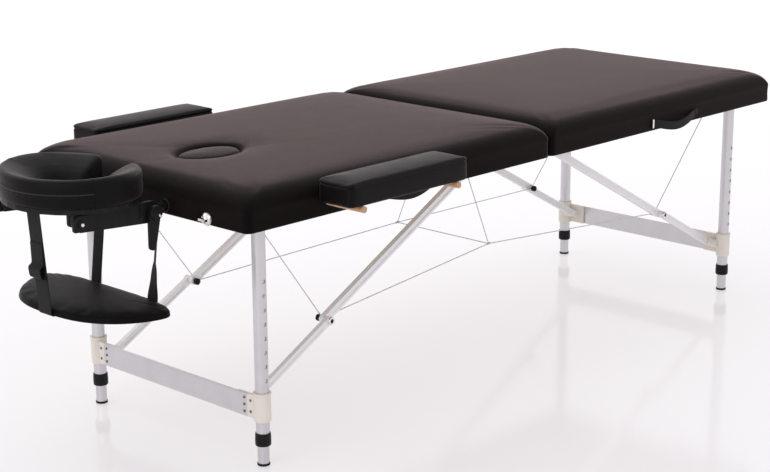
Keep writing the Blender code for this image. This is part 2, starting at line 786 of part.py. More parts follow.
def build_leg_tube(name, x, y, side, parent):
    """Outer leg tube with its collar, its row of height holes and the bore for the axle."""
    top = LEG_PIVOT_Z + LEG_HEAD_RISE
    profile = [
        (LEG_BORE, COLLAR_BOTTOM_Z),
        (COLLAR_RADIUS - COLLAR_CHAMFER, COLLAR_BOTTOM_Z),
        (COLLAR_RADIUS, COLLAR_BOTTOM_Z + 2 * COLLAR_CHAMFER),
        (COLLAR_RADIUS, COLLAR_TOP_Z),
        (LEG_RADIUS, COLLAR_TOP_Z),
        (LEG_RADIUS, top - LEG_HEAD_ROUND),
        (LEG_RADIUS - LEG_HEAD_ROUND / 3, top - LEG_HEAD_ROUND / 3),
        (LEG_RADIUS - LEG_HEAD_ROUND, top),
    ]
    bore_top = LEG_PIVOT_Z - LEG_HEAD_SOLID
    tube = add(name, turned(profile, "Z", (x, y, 0)), "aluminium", parent)
    bore = rod("Z", (x, y, 0), LEG_BORE, COLLAR_BOTTOM_Z - COLLAR_CHAMFER, bore_top, ROUND_SIDES)
    cut(tube, bore)
    holes = [rod("Y", (x, y, LEG_PIVOT_Z), AXLE_RADIUS + CLEAR, -2 * LEG_RADIUS, 2 * LEG_RADIUS)]
    for index in range(HOLE_COUNT):
        z = TOP_HOLE_Z - index * HOLE_PITCH
        holes.append(rod("Y", (x, y, z), HOLE_RADIUS, 0, side * 2 * LEG_RADIUS, CABLE_SIDES))
    cut(tube, gather(*holes))


def build_inner_leg(name, x, y, side, parent, pivot):
    """Inner tube of a leg, open at both ends, with the hole for its snap button."""
    low = TIP_HEIGHT + CLEAR
    high = BUTTON_Z + INNER_RISE
    profile = [(INNER_BORE, low), (INNER_RADIUS, low), (INNER_RADIUS, high), (INNER_BORE, high)]
    tube = add(name, turned(profile, "Z", (x, y, 0), hollow=True), "aluminium", parent, pivot)
    cut(tube, rod("Y", (x, y, BUTTON_Z), HOLE_RADIUS, 0, side * 2 * LEG_RADIUS, CABLE_SIDES))


def build_leg_tip(name, x, y, parent, pivot):
    """Foot tip: a disc on the floor with a plug that goes up into the inner tube."""
    profile = [
        (TIP_RADIUS - TIP_HEIGHT / 5, 0.0),
        (TIP_RADIUS, TIP_HEIGHT / 5),
        (TIP_RADIUS, TIP_HEIGHT),
        (TIP_PLUG_RADIUS, TIP_HEIGHT),
        (TIP_PLUG_RADIUS, TIP_HEIGHT + TIP_PLUG),
    ]
    add(name, turned(profile, "Z", (x, y, 0)), "black_plastic", parent, pivot)


def build_snap_button(name, x, y, side, parent):
    """Domed snap button on a V spring that stands inside the inner tube."""
    reach = LEG_RADIUS + BUTTON_PROUD
    profile = [
        (BUTTON_RADIUS, side * (SPRING_SEAT - SPRING_THICKNESS / 2)),
        (BUTTON_RADIUS, side * (reach - BUTTON_DOME)),
        (BUTTON_TOP_RADIUS, side * reach),
    ]
    shape = turned(profile, "Y", (x, y, BUTTON_Z), SMALL_SIDES)
    button = add(name, shape, "steel", parent, (x, y, BUTTON_Z))
    seat, back, half = SPRING_SEAT, -SPRING_BACK, SPRING_THICKNESS / 2
    bend = SPRING_HEIGHT - 3 * SPRING_THICKNESS
    outline = [
        (seat + half, -SPRING_TAIL),
        (seat + half, SPRING_RISE),
        (0.0, SPRING_HEIGHT),
        (back - half, SPRING_RISE),
        (back - half, -SPRING_TAIL),
        (back + half, -SPRING_TAIL),
        (back + half, SPRING_RISE),
        (0.0, bend),
        (seat - half, SPRING_RISE),
        (seat - half, -SPRING_TAIL),
    ]
    rings = [
        [(x + edge, y + side * v, BUTTON_Z + w) for v, w in outline]
        for edge in (-SPRING_WIDTH / 2, SPRING_WIDTH / 2)
    ]
    join(button, loft(rings))


def build_bracket(name, end, x, side, parent):
    """Moulded sleeve round a leg, with the beam's tongue and the brace lug."""
    outward = ENDS[end]
    y = side * LEG_Y
    profile = [
        (BRACKET_RADIUS, BRACKET_BOTTOM_Z),
        (BRACKET_RADIUS, BRACKET_TOP_Z - 4 * BRACKET_BELL),
        (BRACKET_RADIUS + BRACKET_BELL, BRACKET_TOP_Z - 3 * BRACKET_BELL),
        (BRACKET_RADIUS + BRACKET_BELL, BRACKET_TOP_Z),
    ]
    bracket = add(name, turned(profile, "Z", (x, y, 0)), "bracket", parent)
    beam_end = LEG_Y - BEAM_END_SETBACK
    face = BEAM_OFFSET - CLEAR
    sunk = LEG_Y - LEG_RADIUS / 2

    def block(y_from, y_to, out_from, out_to):
        low_x, high_x = sorted((x + outward * out_from, x + outward * out_to))
        low_y, high_y = sorted((side * y_from, side * y_to))
        return slab((low_x, low_y, BEAM_BOTTOM_Z), (high_x, high_y, BEAM_TOP_Z))

    join(bracket, block(beam_end - TONGUE_LENGTH, sunk, face - TONGUE_THICKNESS, face))
    join(bracket, block(beam_end + CLEAR, sunk, face - TONGUE_THICKNESS / 2, BEAM_OFFSET + BEAM_THICKNESS))
    lug_x, lug_z = linkage(end)["lug"]
    lug = rod("Y", (lug_x, 0, lug_z), LUG_RADIUS, side * LUG_INNER_Y, side * sunk)
    join(bracket, lug)
    pin_end = LOWER_INNER_Y + CLEAR
    pin = rod("Y", (lug_x, 0, lug_z), LOWER_PIN_RADIUS, side * pin_end, side * (LUG_INNER_Y + LUG_GAP))
    join(bracket, pin)
    bore = rod("Z", (x, y, 0), LEG_RADIUS + CLEAR, BEAM_BOTTOM_Z / 2, 2 * BRACKET_TOP_Z, ROUND_SIDES)
    cut(bracket, bore)


def build_beam(end, parent):
    """Cross beam between two brackets: a pressed strip with a lip along each long edge."""
    outward = ENDS[end]
    reach = LEG_Y - BEAM_END_SETBACK
    near = leg_x(end) + outward * BEAM_OFFSET
    far = near + outward * BEAM_THICKNESS
    crest = far + outward * BEAM_THICKNESS / 3
    low, high = BEAM_BOTTOM_Z, BEAM_TOP_Z
    outline = [
        (near, low),
        (far, low),
        (crest, low + BEAM_LIP / 2),
        (far, low + BEAM_LIP),
        (far, high - BEAM_LIP),
        (crest, high - BEAM_LIP / 2),
        (far, high),
        (near, high),
    ]
    add(f"{end}_cross_beam", plate(outline, -reach, reach), "aluminium", parent)


def groove(first, second, y_from, y_to):
    """Shallow round-ended groove along a brace between two (x, z) points."""
    span = Vector((second[0] - first[0], second[1] - first[1]))
    step = span.normalized() * GROOVE_END
    start = (first[0] + step.x, first[1] + step.y)
    end = (second[0] - step.x, second[1] - step.y)
    return plate(link_outline(start, GROOVE_HALF_WIDTH, end, GROOVE_HALF_WIDTH), y_from, y_to)


def build_brace(name, pivot, knee, half_width, bore, y_from, y_to, parent, capped):
    """Bar with round ends, an eye at its pivot and a groove down both faces."""
    outline = link_outline(pivot, half_width, knee, half_width)
    brace = add(name, plate(outline, y_from, y_to), "aluminium", parent, (pivot[0], 0, pivot[1]))
    outward = 1 if y_to > y_from else -1
    deep = outward * GROOVE_DEPTH
    eye = rod("Y", (pivot[0], 0, pivot[1]), bore, y_from - deep, y_to + deep)
    inner = groove(pivot, knee, y_from - deep, y_from + deep)
    outer = groove(pivot, knee, y_to - deep, y_to + deep)
    cut(brace, gather(eye, inner, outer))
    if capped:
        rim = outward * KNEE_CAP_HEIGHT
        profile = [
            (KNEE_CAP_RADIUS, y_to - deep / 2),
            (KNEE_CAP_RADIUS, y_to + rim - outward * KNEE_CAP_CHAMFER),
            (KNEE_CAP_RADIUS - KNEE_CAP_CHAMFER, y_to + rim),
        ]
        join(brace, turned(profile, "Y", (knee[0], 0, knee[1]), SMALL_SIDES))


def build_legs(end, half):
    """One pair of folding legs with its beam, brackets and braces."""
    x = leg_x(end)
    points = linkage(end)
    leg_set = empty(f"{end}_leg_axis", (x, 0, LEG_PIVOT_Z), half)
    build_beam(end, leg_set)
    for side, sign in SIDES.items():
        corner = f"{side}_{end}"
        y = sign * LEG_Y
        build_leg_tube(f"{corner}_leg_tube", x, y, sign, leg_set)
        slide = empty(f"{corner}_leg_slide", (x, y, BUTTON_Z), leg_set)
        build_inner_leg(f"{corner}_inner_leg", x, y, sign, slide, (x, y, BUTTON_Z))
        build_leg_tip(f"{corner}_leg_tip", x, y, slide, (x, y, BUTTON_Z))
        build_snap_button(f"{corner}_snap_button", x, y, sign, slide)
        build_bracket(f"{corner}_bracket", end, x, sign, leg_set)
        build_brace(
            f"{corner}_upper_brace", points["brace"], points["knee"], UPPER_HALF_WIDTH,
            BRACE_TUBE_RADIUS + CLEAR, sign * UPPER_INNER_Y, sign * UPPER_OUTER_Y, half, False,
        )
        build_brace(
            f"{corner}_lower_brace", points["lug"], points["knee"], LOWER_HALF_WIDTH,
            LOWER_PIN_RADIUS + CLEAR, sign * LOWER_INNER_Y, sign * LOWER_OUTER_Y, leg_set, True,
        )


def horseshoe_stations(half_limb):
    """Points and inward normals along the cradle's open ring.

    The path runs from one rear tip round the front to the other tip.
    """
    span = 2 * (math.pi - CUSHION_GAP_ANGLE)
    stations = []
    for step in range(HORSESHOE_STEPS + 1):
        angle = -CUSHION_GAP_ANGLE - span * step / HORSESHOE_STEPS
        along_x, along_y = math.cos(angle), math.sin(angle)
        x = HORSESHOE_CENTRE_X + HORSESHOE_HALF_LENGTH * along_x
        point = Vector((x, HORSESHOE_HALF_WIDTH * along_y, 0))
        normal = Vector((-HORSESHOE_HALF_WIDTH * along_x, -HORSESHOE_HALF_LENGTH * along_y, 0)).normalized()
        stations.append((point, normal * half_limb))
    return stations


def build_platform(parent, pivot):
    """Horseshoe board under the cushion, with two ears that carry its pivot pins."""
    low, high = PLATFORM_Z, PLATFORM_Z + PLATFORM_THICKNESS
    rings = []
    for point, normal in horseshoe_stations(PLATFORM_WIDTH / 2):
        inner, outer = point + normal, point - normal
        rings.append([(*inner.xy, low), (*inner.xy, high), (*outer.xy, high), (*outer.xy, low)])
    board = add("cradle_platform", loft(rings), "black_plastic", parent, pivot)
    ears = []
    pins = []
    heads = []
    hinge = (CRADLE_FRONT_X, 0, CRADLE_FRONT_Z)
    top = (CRADLE_FRONT_X, PLATFORM_Z + PLATFORM_THICKNESS / 2 - EAR_RADIUS)
    for sign in SIDES.values():
        outer = sign * (CRADLE_ARM_Y - EAR_GAP)
        inner = outer - sign * EAR_THICKNESS
        outline = link_outline(hinge[::2], EAR_RADIUS, top, EAR_RADIUS)
        ears.append(plate(outline, inner, outer))
        head = sign * (CRADLE_ARM_OUTER_Y + EAR_GAP)
        head_end = head + sign * EAR_PIN_HEAD_HEIGHT
        pins.append(rod("Y", hinge, EAR_PIN_RADIUS, (inner + outer) / 2, (head + head_end) / 2))
        heads.append(rod("Y", hinge, EAR_PIN_HEAD, head, head_end))
    join(board, gather(*ears))
    join(board, gather(*pins))
    join(board, gather(*heads))


def cushion_ring(point, normal, wide, tall):
    """One ring of the face cushion: a slope up from the hole to a rim over the outer wall."""
    return [(*(point + normal * across * wide).xy, CUSHION_Z + up * tall) for across, up in CUSHION_SECTION]


def build_cushion(parent, pivot):
    """Open ring of a face cushion, dished towards its hole, with rounded rear tips."""
    stations = horseshoe_stations(1.0)
    last = len(stations) - 1
    half_limb = CUSHION_LIMB / 2
    rings = []
    for index, (point, normal) in enumerate(stations):
        way = abs(2 * index / last - 1)
        height = CUSHION_HEIGHT - CUSHION_DIP * math.cos(math.pi * way / 2) ** 2
        if index not in (0, last):
            rings.append(cushion_ring(point, normal, half_limb, height))
            continue
        turn = 1 if index else -1
        inward = Vector((normal.y, -normal.x, 0)) * turn
        ends = []
        for step in (1.0, CUSHION_END_STEP, 0.0):
            share = math.sqrt(1 - (1 - step) ** 2)
            wide = half_limb * (CUSHION_END_WIDTH + (1 - CUSHION_END_WIDTH) * share)
            tall = height * (CUSHION_END_HEIGHT + (1 - CUSHION_END_HEIGHT) * share)
            ends.append(cushion_ring(point + inward * step * CUSHION_END_ROUND, normal, wide, tall))
        rings += ends if index else reversed(ends)
    add("cradle_cushion", loft(rings), "leather", parent, pivot)


def build_cradle(parent):
    """Face cradle: peg bar, arms, platform, cushion and the two cam levers."""
    pivot = (CRADLE_X, 0, PEG_Z)
    slide = empty("cradle_slide_axis", pivot, parent)
    bar_reach = CRADLE_ARM_Y - EAR_GAP
    bar = rod("Y", pivot, CRADLE_BAR_RADIUS, -bar_reach, bar_reach)
    peg_bar = add("cradle_peg_bar", bar, "steel", slide)
    peg_end = -HALF_LENGTH + PEG_DEPTH
    pegs = [rod("X", (0, sign * PEG_Y, PEG_Z), PEG_RADIUS, CRADLE_X, peg_end) for sign in SIDES.values()]
    join(peg_bar, gather(*pegs))
    stub = CRADLE_ARM_OUTER_Y + CRADLE_STUB_END
    join(peg_bar, rod("Y", pivot, CRADLE_STUB_RADIUS, -stub, stub))

    tilt = (CRADLE_FRONT_X, 0, CRADLE_FRONT_Z)
    arm_axis = empty("cradle_arm_axis", pivot, slide)
    outline = link_outline(pivot[::2], CRADLE_ARM_REAR_RADIUS, tilt[::2], CRADLE_ARM_FRONT_RADIUS)
    plates = [
        plate(outline, sign * CRADLE_ARM_Y, sign * CRADLE_ARM_OUTER_Y) for sign in SIDES.values()
    ]
    arms = add("cradle_arms", gather(*plates), "black_plastic", arm_axis)
    middle = CRADLE_ARM_Y + CRADLE_ARM_THICKNESS / 2
    rod_x = CRADLE_X - CRADLE_ROD_REACH
    join(arms, rod("Y", (rod_x, 0, PEG_Z), CRADLE_ROD_RADIUS, -middle, middle))
    wide = 2 * CRADLE_ARM_OUTER_Y
    rear_bore = rod("Y", pivot, CRADLE_STUB_RADIUS + CLEAR, -wide, wide)
    front_bore = rod("Y", tilt, EAR_PIN_RADIUS + CLEAR, -wide, wide)
    cut(arms, gather(rear_bore, front_bore))

    tilt_axis = empty("cradle_tilt_axis", tilt, arm_axis)
    build_platform(tilt_axis, tilt)
    build_cushion(tilt_axis, tilt)
    for side, sign in SIDES.items():
        inner = sign * (CRADLE_ARM_OUTER_Y + LEVER_GAP)
        outer = inner + sign * LEVER_THICKNESS
        tail = (CRADLE_X - LEVER_LEAN, PEG_Z - LEVER_DROP)
        shape = plate(link_outline(pivot[::2], LEVER_HUB_RADIUS, tail, LEVER_END_RADIUS), inner, outer)
        lever = add(f"{side}_cam_lever", shape, "black_plastic", arm_axis)
        past = sign * LEVER_GAP
        cut(lever, rod("Y", pivot, CRADLE_STUB_RADIUS + CLEAR, inner - past, outer + past))
    return arm_axis


def shelf_ring(inset, z):
    """Half-moon outline of the arm shelf: a full, rounded front and a nearly straight back."""
    centre_x = -HALF_LENGTH - SHELF_CENTRE_REACH
    front = SHELF_FRONT_REACH - SHELF_CENTRE_REACH - inset
    back = SHELF_CENTRE_REACH - SHELF_BACK_REACH - inset
    points = []
    for u, v in circle(1.0, SHELF_SIDES):
        power, root = SHELF_FRONT_SHAPE if v >= 0 else SHELF_BACK_SHAPE
        depth = (1 - min(abs(u), 1.0) ** power) ** root
        x = centre_x - front * depth if v >= 0 else centre_x + back * depth
        points.append((x, (SHELF_HALF_WIDTH - inset) * u, z))
    return points


def build_shelf(parent):
    """Padded arm shelf and the strap harness that carries it."""
    swing = empty("arm_shelf_axis", (SHELF_SWING_X, 0, PEG_Z), parent)
    low, high = SHELF_BOTTOM_Z, SHELF_TOP_Z
    bevel = SHELF_ROUND * SHELF_EDGE_SHARE
    rings = [
        shelf_ring(bevel, low),
        shelf_ring(0.0, low + SHELF_ROUND / 2),
        shelf_ring(0.0, high - SHELF_ROUND),
        shelf_ring(bevel, high - bevel),
        shelf_ring(SHELF_ROUND, high - SHELF_CROWN),
        shelf_ring(SHELF_CROWN_INSET, high),
    ]
    add("arm_shelf", loft(rings), "leather", swing)

    half = STRAP_WIDTH / 2
    front_x = -HALF_LENGTH - SHELF_FRONT_REACH - CLEAR
    back_x = -HALF_LENGTH - SHELF_BACK_REACH + CLEAR
    under = low - CLEAR
    below = under - STRAP_THICKNESS
    front_top = PLATFORM_Z - CLEAR
    back_top = PEG_Z - CRADLE_BAR_RADIUS - CLEAR
    front_band = slab((front_x - STRAP_THICKNESS, -half, below), (front_x, half, front_top))
    straps = add("shelf_straps", front_band, "webbing", swing)
    join(straps, slab((front_x - STRAP_THICKNESS, -half, below), (back_x, half, under)))
    cross_half = STRAP_BACK_Y + half
    back_edge = back_x + STRAP_THICKNESS
    join(straps, slab((back_x - STRAP_WIDTH, -cross_half, below), (back_edge, cross_half, under)))
    bands = [
        slab(
            (back_x, sign * STRAP_BACK_Y - half, below),
            (back_edge, sign * STRAP_BACK_Y + half, back_top),
        )
        for sign in SIDES.values()
    ]
    join(straps, gather(*bands))


def build_armrest(side, parent):
    """Armrest: a padded block on a board with two dowels that push into the side rail."""
    sign = SIDES[side]
    centre = (ARMREST_CENTRE_X, sign * ARMREST_CENTRE_Y)
    axis = empty(f"{side}_armrest_axis", (*centre, DOWEL_Z), parent)
    half = (ARMREST_LENGTH / 2, ARMREST_WIDTH / 2)
    board_half = (half[0] - BOARD_MARGIN, half[1] - BOARD_MARGIN)
    corner = ARMREST_CORNER - BOARD_MARGIN
    levels = (BOARD_Z, BOARD_Z + BOARD_THICKNESS)
    board = loft([rounded_ring(centre, board_half, 0.0, corner, z) for z in levels])
    frame = add(f"{side}_armrest_dowels", board, "dowel", axis)
    start = sign * (HALF_WIDTH - DOWEL_DEPTH)
    end = sign * (ARMREST_INNER_Y + ARMREST_WIDTH + DOWEL_PROUD)
    join(frame, gather(*[rod("Y", (x, 0, DOWEL_Z), DOWEL_RADIUS, start, end) for x in dowel_places()]))

    low, high = ARMREST_Z, ARMREST_Z + ARMREST_HEIGHT
    edge = high - ARMREST_CROWN
    rings = [
        rounded_ring(centre, half, HEM_DRAW * 2, ARMREST_CORNER, low),
        rounded_ring(centre, half, 0.0, ARMREST_CORNER, low + HEM_HEIGHT),
        rounded_ring(centre, half, SIDE_DRAW, ARMREST_CORNER, (low + high) / 2),
    ]
    for step in range(CORNER_STEPS + 1):
        angle = math.pi / 2 * step / CORNER_STEPS
        inset = ARMREST_EDGE * (1 - math.cos(angle))
        z = edge - ARMREST_EDGE + ARMREST_EDGE * math.sin(angle)
        rings.append(rounded_ring(centre, half, inset, ARMREST_CORNER - inset / 2, z))
    flat = (ARMREST_EDGE + half[1]) / 2
    rings.append(rounded_ring(centre, half, flat, half[1] - flat, high))
    add(f"{side}_armrest_pad", loft(rings), "leather", axis)


def cable(points):
    """Round cable through points, kept square to its path at every point."""
    points = [Vector(point) for point in points]
    rings = []
    for index, point in enumerate(points):
        before = points[max(index - 1, 0)]
        after = points[min(index + 1, len(points) - 1)]
        heading = (after - before).normalized()
        away = Vector((0, 0, 1)) if abs(heading.z) < 0.9 else Vector((1, 0, 0))
        across = heading.cross(away).normalized()
        up = across.cross(heading)
        rings.append([tuple(point + across * u + up * v) for u, v in circle(CABLE_RADIUS, CABLE_SIDES)])
    return loft(rings)


def build_cables(parent):
    """Steel cables: one from each leg head to its knee, and the net that ties the knees together."""
    y_knee = UPPER_INNER_Y - CABLE_GAP - CABLE_RADIUS
    runs = {}
    for side, sign in SIDES.items():
        crimp = (CRIMP_X, sign * CRIMP_Y, CRIMP_Z)
        run = []
        for end, outward in ENDS.items():
            knee_x, knee_z = linkage(end)["knee"]
            top = (leg_x(end), sign * y_knee, LEG_PIVOT_Z - AXLE_RADIUS - CABLE_RADIUS - CLEAR)
            foot = (knee_x, sign * y_knee, knee_z + CABLE_KNEE_STEP)
            pivot = (leg_x(end), 0, LEG_PIVOT_Z)
            add(f"{side}_{end}_leg_cable", cable([top, foot]), "steel", f"{end}_half", pivot)
            run.append((knee_x - outward * CABLE_KNEE_STEP, sign * y_knee, knee_z))
        runs[side] = (run[0], crimp, run[1])
    net = add("cable_net", cable(runs["near"]), "steel", parent)
    crimps = []
    drops = []
    for sign in SIDES.values():
        centre = (CRIMP_X, sign * CRIMP_Y, CRIMP_Z)
        ball = [
            (CRIMP_RADIUS / 2, -CRIMP_RADIUS),
            (CRIMP_RADIUS, -CRIMP_RADIUS / 2),
            (CRIMP_RADIUS, CRIMP_RADIUS / 2),
            (CRIMP_RADIUS / 2, CRIMP_RADIUS),
        ]
        crimps.append(turned(ball, "X", centre, CABLE_SIDES))
        top_z = UNDERSIDE_Z - HINGE_LEAF_THICKNESS - 3 * CLEAR
        drops.append(cable([centre, (CRIMP_X, sign * DROP_TOP_Y, top_z)]))
    join(net, gather(*crimps))
    join(net, cable(runs["far"]))
    join(net, gather(*drops))
    cross = CRIMP_Y - CRIMP_RADIUS / 3
    join(net, cable([(CRIMP_X, -cross, CRIMP_Z), (CRIMP_X, cross, CRIMP_Z)]))


def build_table():
    """Build every piece of the table under one root."""
    root = empty("table", (0, 0, 0))
    head = empty("head_half", (0, 0, HINGE_Z), root)
    foot = empty("foot_half", (0, 0, HINGE_Z), root)
    for end, half in (("head", head), ("foot", foot)):
        build_frame(end, half)
        build_deck(end, half)
        build_pad(end, half)
        build_hinge_leaf(end, half)
        build_handle(end, half)
        build_legs(end, half)
    build_plug(head)
    for side in SIDES:
        build_latch(side, head)
        build_armrest(side, head)
    build_shelf(build_cradle(head))
    build_cables(head)
    bpy.data.objects[root].location.x = ROOT_SHIFT


clear_scene()
build_table()
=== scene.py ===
"""Looks of the folding massage table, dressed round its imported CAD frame.

Everything is in the row frame: metres, +Z up, the floor at Z = 0, the head end
towards -X and the side with the carrying handles towards -Y. Sizes along X are
given from the middle hinge, which stands at X = HINGE_X.
"""
from __future__ import annotations

import json
import logging
import math
from dataclasses import dataclass, replace
from enum import Enum
from typing import Any, ClassVar, Optional, Sequence, Union

import bmesh
import bpy
import numpy as np
from mathutils import Matrix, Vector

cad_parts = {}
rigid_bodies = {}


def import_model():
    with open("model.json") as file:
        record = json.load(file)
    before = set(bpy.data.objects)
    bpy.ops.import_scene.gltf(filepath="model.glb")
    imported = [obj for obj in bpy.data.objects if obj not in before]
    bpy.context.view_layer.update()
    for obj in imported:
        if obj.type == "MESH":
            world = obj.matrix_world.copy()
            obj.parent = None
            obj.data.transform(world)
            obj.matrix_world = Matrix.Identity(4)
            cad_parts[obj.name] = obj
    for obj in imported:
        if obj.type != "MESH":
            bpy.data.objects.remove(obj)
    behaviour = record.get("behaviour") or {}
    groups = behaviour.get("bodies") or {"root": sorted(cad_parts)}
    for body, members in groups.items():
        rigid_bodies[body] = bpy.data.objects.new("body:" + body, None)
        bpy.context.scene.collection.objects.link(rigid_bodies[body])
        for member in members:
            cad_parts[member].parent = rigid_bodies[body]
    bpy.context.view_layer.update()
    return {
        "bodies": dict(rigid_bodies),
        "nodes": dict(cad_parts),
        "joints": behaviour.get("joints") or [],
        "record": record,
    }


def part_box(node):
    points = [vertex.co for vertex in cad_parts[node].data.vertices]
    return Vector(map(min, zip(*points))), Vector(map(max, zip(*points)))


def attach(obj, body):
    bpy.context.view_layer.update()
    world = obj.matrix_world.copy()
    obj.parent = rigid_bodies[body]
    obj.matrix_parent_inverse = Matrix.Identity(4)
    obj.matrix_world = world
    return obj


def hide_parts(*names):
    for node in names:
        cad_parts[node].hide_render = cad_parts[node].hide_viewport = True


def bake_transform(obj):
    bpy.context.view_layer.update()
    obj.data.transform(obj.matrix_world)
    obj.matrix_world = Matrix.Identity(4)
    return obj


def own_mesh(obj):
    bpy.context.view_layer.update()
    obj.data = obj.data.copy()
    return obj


LOG = logging.getLogger("massage_table")

Array = np.ndarray
Colour = tuple[float, float, float]
Point = tuple[float, float, float]
Outline = Sequence[tuple[float, float]]
Input = Union["Signal", float, Sequence[float]]

TAU = 2 * math.pi
QUARTER = math.pi / 2
ALONG, ACROSS, UP = np.eye(3)
HINGE_X = 0.144
HEAD_END_X = -0.930 + HINGE_X
LEG_X = (-0.832 + HINGE_X, 0.860 + HINGE_X)
KNEE_X = (-0.599138 + HINGE_X, 0.627138 + HINGE_X)
KNEE_Z = 0.247377
SIDES = {"near": -1, "far": 1}
ENDS = {"head": -1, "foot": 1}


class Space(Enum):
    """Coordinates that a pattern follows."""

    OBJECT = "Object"
    SURFACE = "UV"


class Axis(Enum):
    """Direction of a turned piece or of a grain, as a unit vector."""

    X = (1.0, 0.0, 0.0)
    Y = (0.0, 1.0, 0.0)
    Z = (0.0, 0.0, 1.0)


class Signal:
    """A shader socket that takes part in Python arithmetic."""

    def __init__(self, graph: Graph, socket: bpy.types.NodeSocket) -> None:
        """Wrap one output socket of a graph."""
        self.graph = graph
        self.socket = socket

    def math(self, operation: str, other: Optional[Input] = None, flip: bool = False) -> Signal:
        """Put the socket through a Math node.

        Args:
            operation: the node's operation.
            other: second value, if the operation has one.
            flip: True where the other value comes first.

        Returns:
            The node's result.
        """
        pair = (other, self) if flip else (self, other)
        inputs = {index: value for index, value in enumerate(pair) if value is not None}
        return self.graph.node("ShaderNodeMath", {"operation": operation}, inputs)

    def __add__(self, other: Input) -> Signal:
        """Sum."""
        return self.math("ADD", other)

    __radd__ = __add__

    def __sub__(self, other: Input) -> Signal:
        """Difference."""
        return self.math("SUBTRACT", other)

    def __rsub__(self, other: Input) -> Signal:
        """Difference from another value."""
        return self.math("SUBTRACT", other, flip=True)

    def __mul__(self, other: Input) -> Signal:
        """Product."""
        return self.math("MULTIPLY", other)

    __rmul__ = __mul__

    def sine(self) -> Signal:
        """Sine of the value."""
        return self.math("SINE")

    def fade(self, low: float, high: float) -> Signal:
        """Smooth step of the value.

        Args:
            low: value that gives 0.
            high: value that gives 1.

        Returns:
            The step.
        """
        return self.graph.node(
            "ShaderNodeMapRange",
            {"interpolation_type": "SMOOTHSTEP"},
            {"Value": self, "From Min": low, "From Max": high},
        )

    def part(self, index: int) -> Signal:
        """One of the three components of a vector.

        Args:
            index: 0, 1 or 2.

        Returns:
            That component.
        """
        return self.graph.node("ShaderNodeSeparateXYZ", None, {0: self}, index)


class Graph:
    """Node tree of one material or of the surroundings."""

    def __init__(self, owner: Union[bpy.types.Material, bpy.types.World]) -> None:
        """Start with an empty tree.

        Args:
            owner: the material or world that the tree belongs to.
        """
        owner.use_nodes = True
        self.owner = owner
        self.tree = owner.node_tree
        self.tree.nodes.clear()

    def node(
        self,
        kind: str,
        settings: Optional[dict[str, Any]] = None,
        inputs: Optional[dict[Union[str, int], Input]] = None,
        output: Union[str, int] = 0,
    ) -> Signal:
        """Add any node.

        Args:
            kind: the node's type.
            settings: its own settings, set first.
            inputs: values or links for its sockets, by name or number.
            output: which of its outputs is wanted.

        Returns:
            That output.
        """
        made = self.tree.nodes.new(kind)
        for key, value in (settings or {}).items():
            setattr(made, key, value)
        for key, value in (inputs or {}).items():
            if isinstance(value, Signal):
                self.tree.links.new(value.socket, made.inputs[key])
            else:
                made.inputs[key].default_value = value
        return Signal(self, made.outputs[output])

    def coords(self, space: Space, scale: Point = (1.0, 1.0, 1.0)) -> Signal:
        """Coordinates of the surface.

        Args:
            space: which coordinates.
            scale: how much they are stretched on each axis.

        Returns:
            The coordinates as a vector.
        """
        plain = self.node("ShaderNodeTexCoord", None, None, space.value)
        if scale == (1.0, 1.0, 1.0):
            return plain
        return self.node("ShaderNodeMapping", None, {"Vector": plain, "Scale": scale})

    def noise(self, vector: Signal, scale: float, detail: float = 3.0) -> Signal:
        """Noise from 0 to 1.

        Args:
            vector: where it is read.
            scale: features to a metre.
            detail: octaves of finer noise in it.

        Returns:
            The noise.
        """
        inputs = {"Vector": vector, "Scale": scale, "Detail": detail}
        return self.node("ShaderNodeTexNoise", None, inputs)

    def mix(self, first: Input, second: Input, share: Input) -> Signal:
        """Colour between two colours.

        Args:
            first: colour at a share of 0.
            second: colour at a share of 1.
            share: how much of the second.

        Returns:
            The colour.
        """
        pair = [value if isinstance(value, Signal) else rgba(value) for value in (first, second)]
        inputs = {0: share, 6: pair[0], 7: pair[1]}
        return self.node("ShaderNodeMix", {"data_type": "RGBA"}, inputs, 2)

    def bump(self, height: Signal, distance: float, under: Optional[Signal] = None) -> Signal:
        """Normal raised by a height.

        Args:
            height: the height, from 0 to 1.
            distance: metres that a height of 1 stands for.
            under: a coarser bump below this one, if any.

        Returns:
            The normal.
        """
        inputs: dict[Union[str, int], Input] = {"Height": height, "Distance": distance}
        if under is not None:
            inputs["Normal"] = under
        return self.node("ShaderNodeBump", None, inputs)

    def surface(self, **inputs: Input) -> bpy.types.Material:
        """Close the tree with a Principled shader.

        Args:
            inputs: its sockets, with _ for a space in the name.

        Returns:
            The finished material.
        """
        named = {key.replace("_", " "): value for key, value in inputs.items()}
        shader = self.node("ShaderNodeBsdfPrincipled", None, named)
        self.close(shader, "ShaderNodeOutputMaterial")
        return self.owner

    def close(self, shader: Signal, kind: str) -> None:
        """Lead a shader to an output node of that kind."""
        out = self.tree.nodes.new(kind)
        self.tree.links.new(shader.socket, out.inputs["Surface"])


def rgba(colour: Sequence[float]) -> tuple[float, ...]:
    """The colour with full opacity."""
    return (*colour[:3], 1.0)


def lighter(colour: Colour, share: float) -> Colour:
    """The colour moved a share of the way to white."""
    return tuple(value + (1 - value) * share for value in colour)


def darker(colour: Colour, share: float) -> Colour:
    """The colour with a share of it taken away."""
    return tuple(value * (1 - share) for value in colour)


@dataclass(frozen=True)
class Finish:
    """What every finish has: its name, the record's slot and its main colour."""

    name: str
    slot: str
    tint: Colour

    def paint(self, graph: Graph) -> bpy.types.Material:
        """Build the node tree. Each finish has its own."""
        raise NotImplementedError

    def material(self) -> bpy.types.Material:
        """The finish's material, made on first use."""
        found = bpy.data.materials.get(self.name)
        return found or self.paint(Graph(bpy.data.materials.new(self.name)))


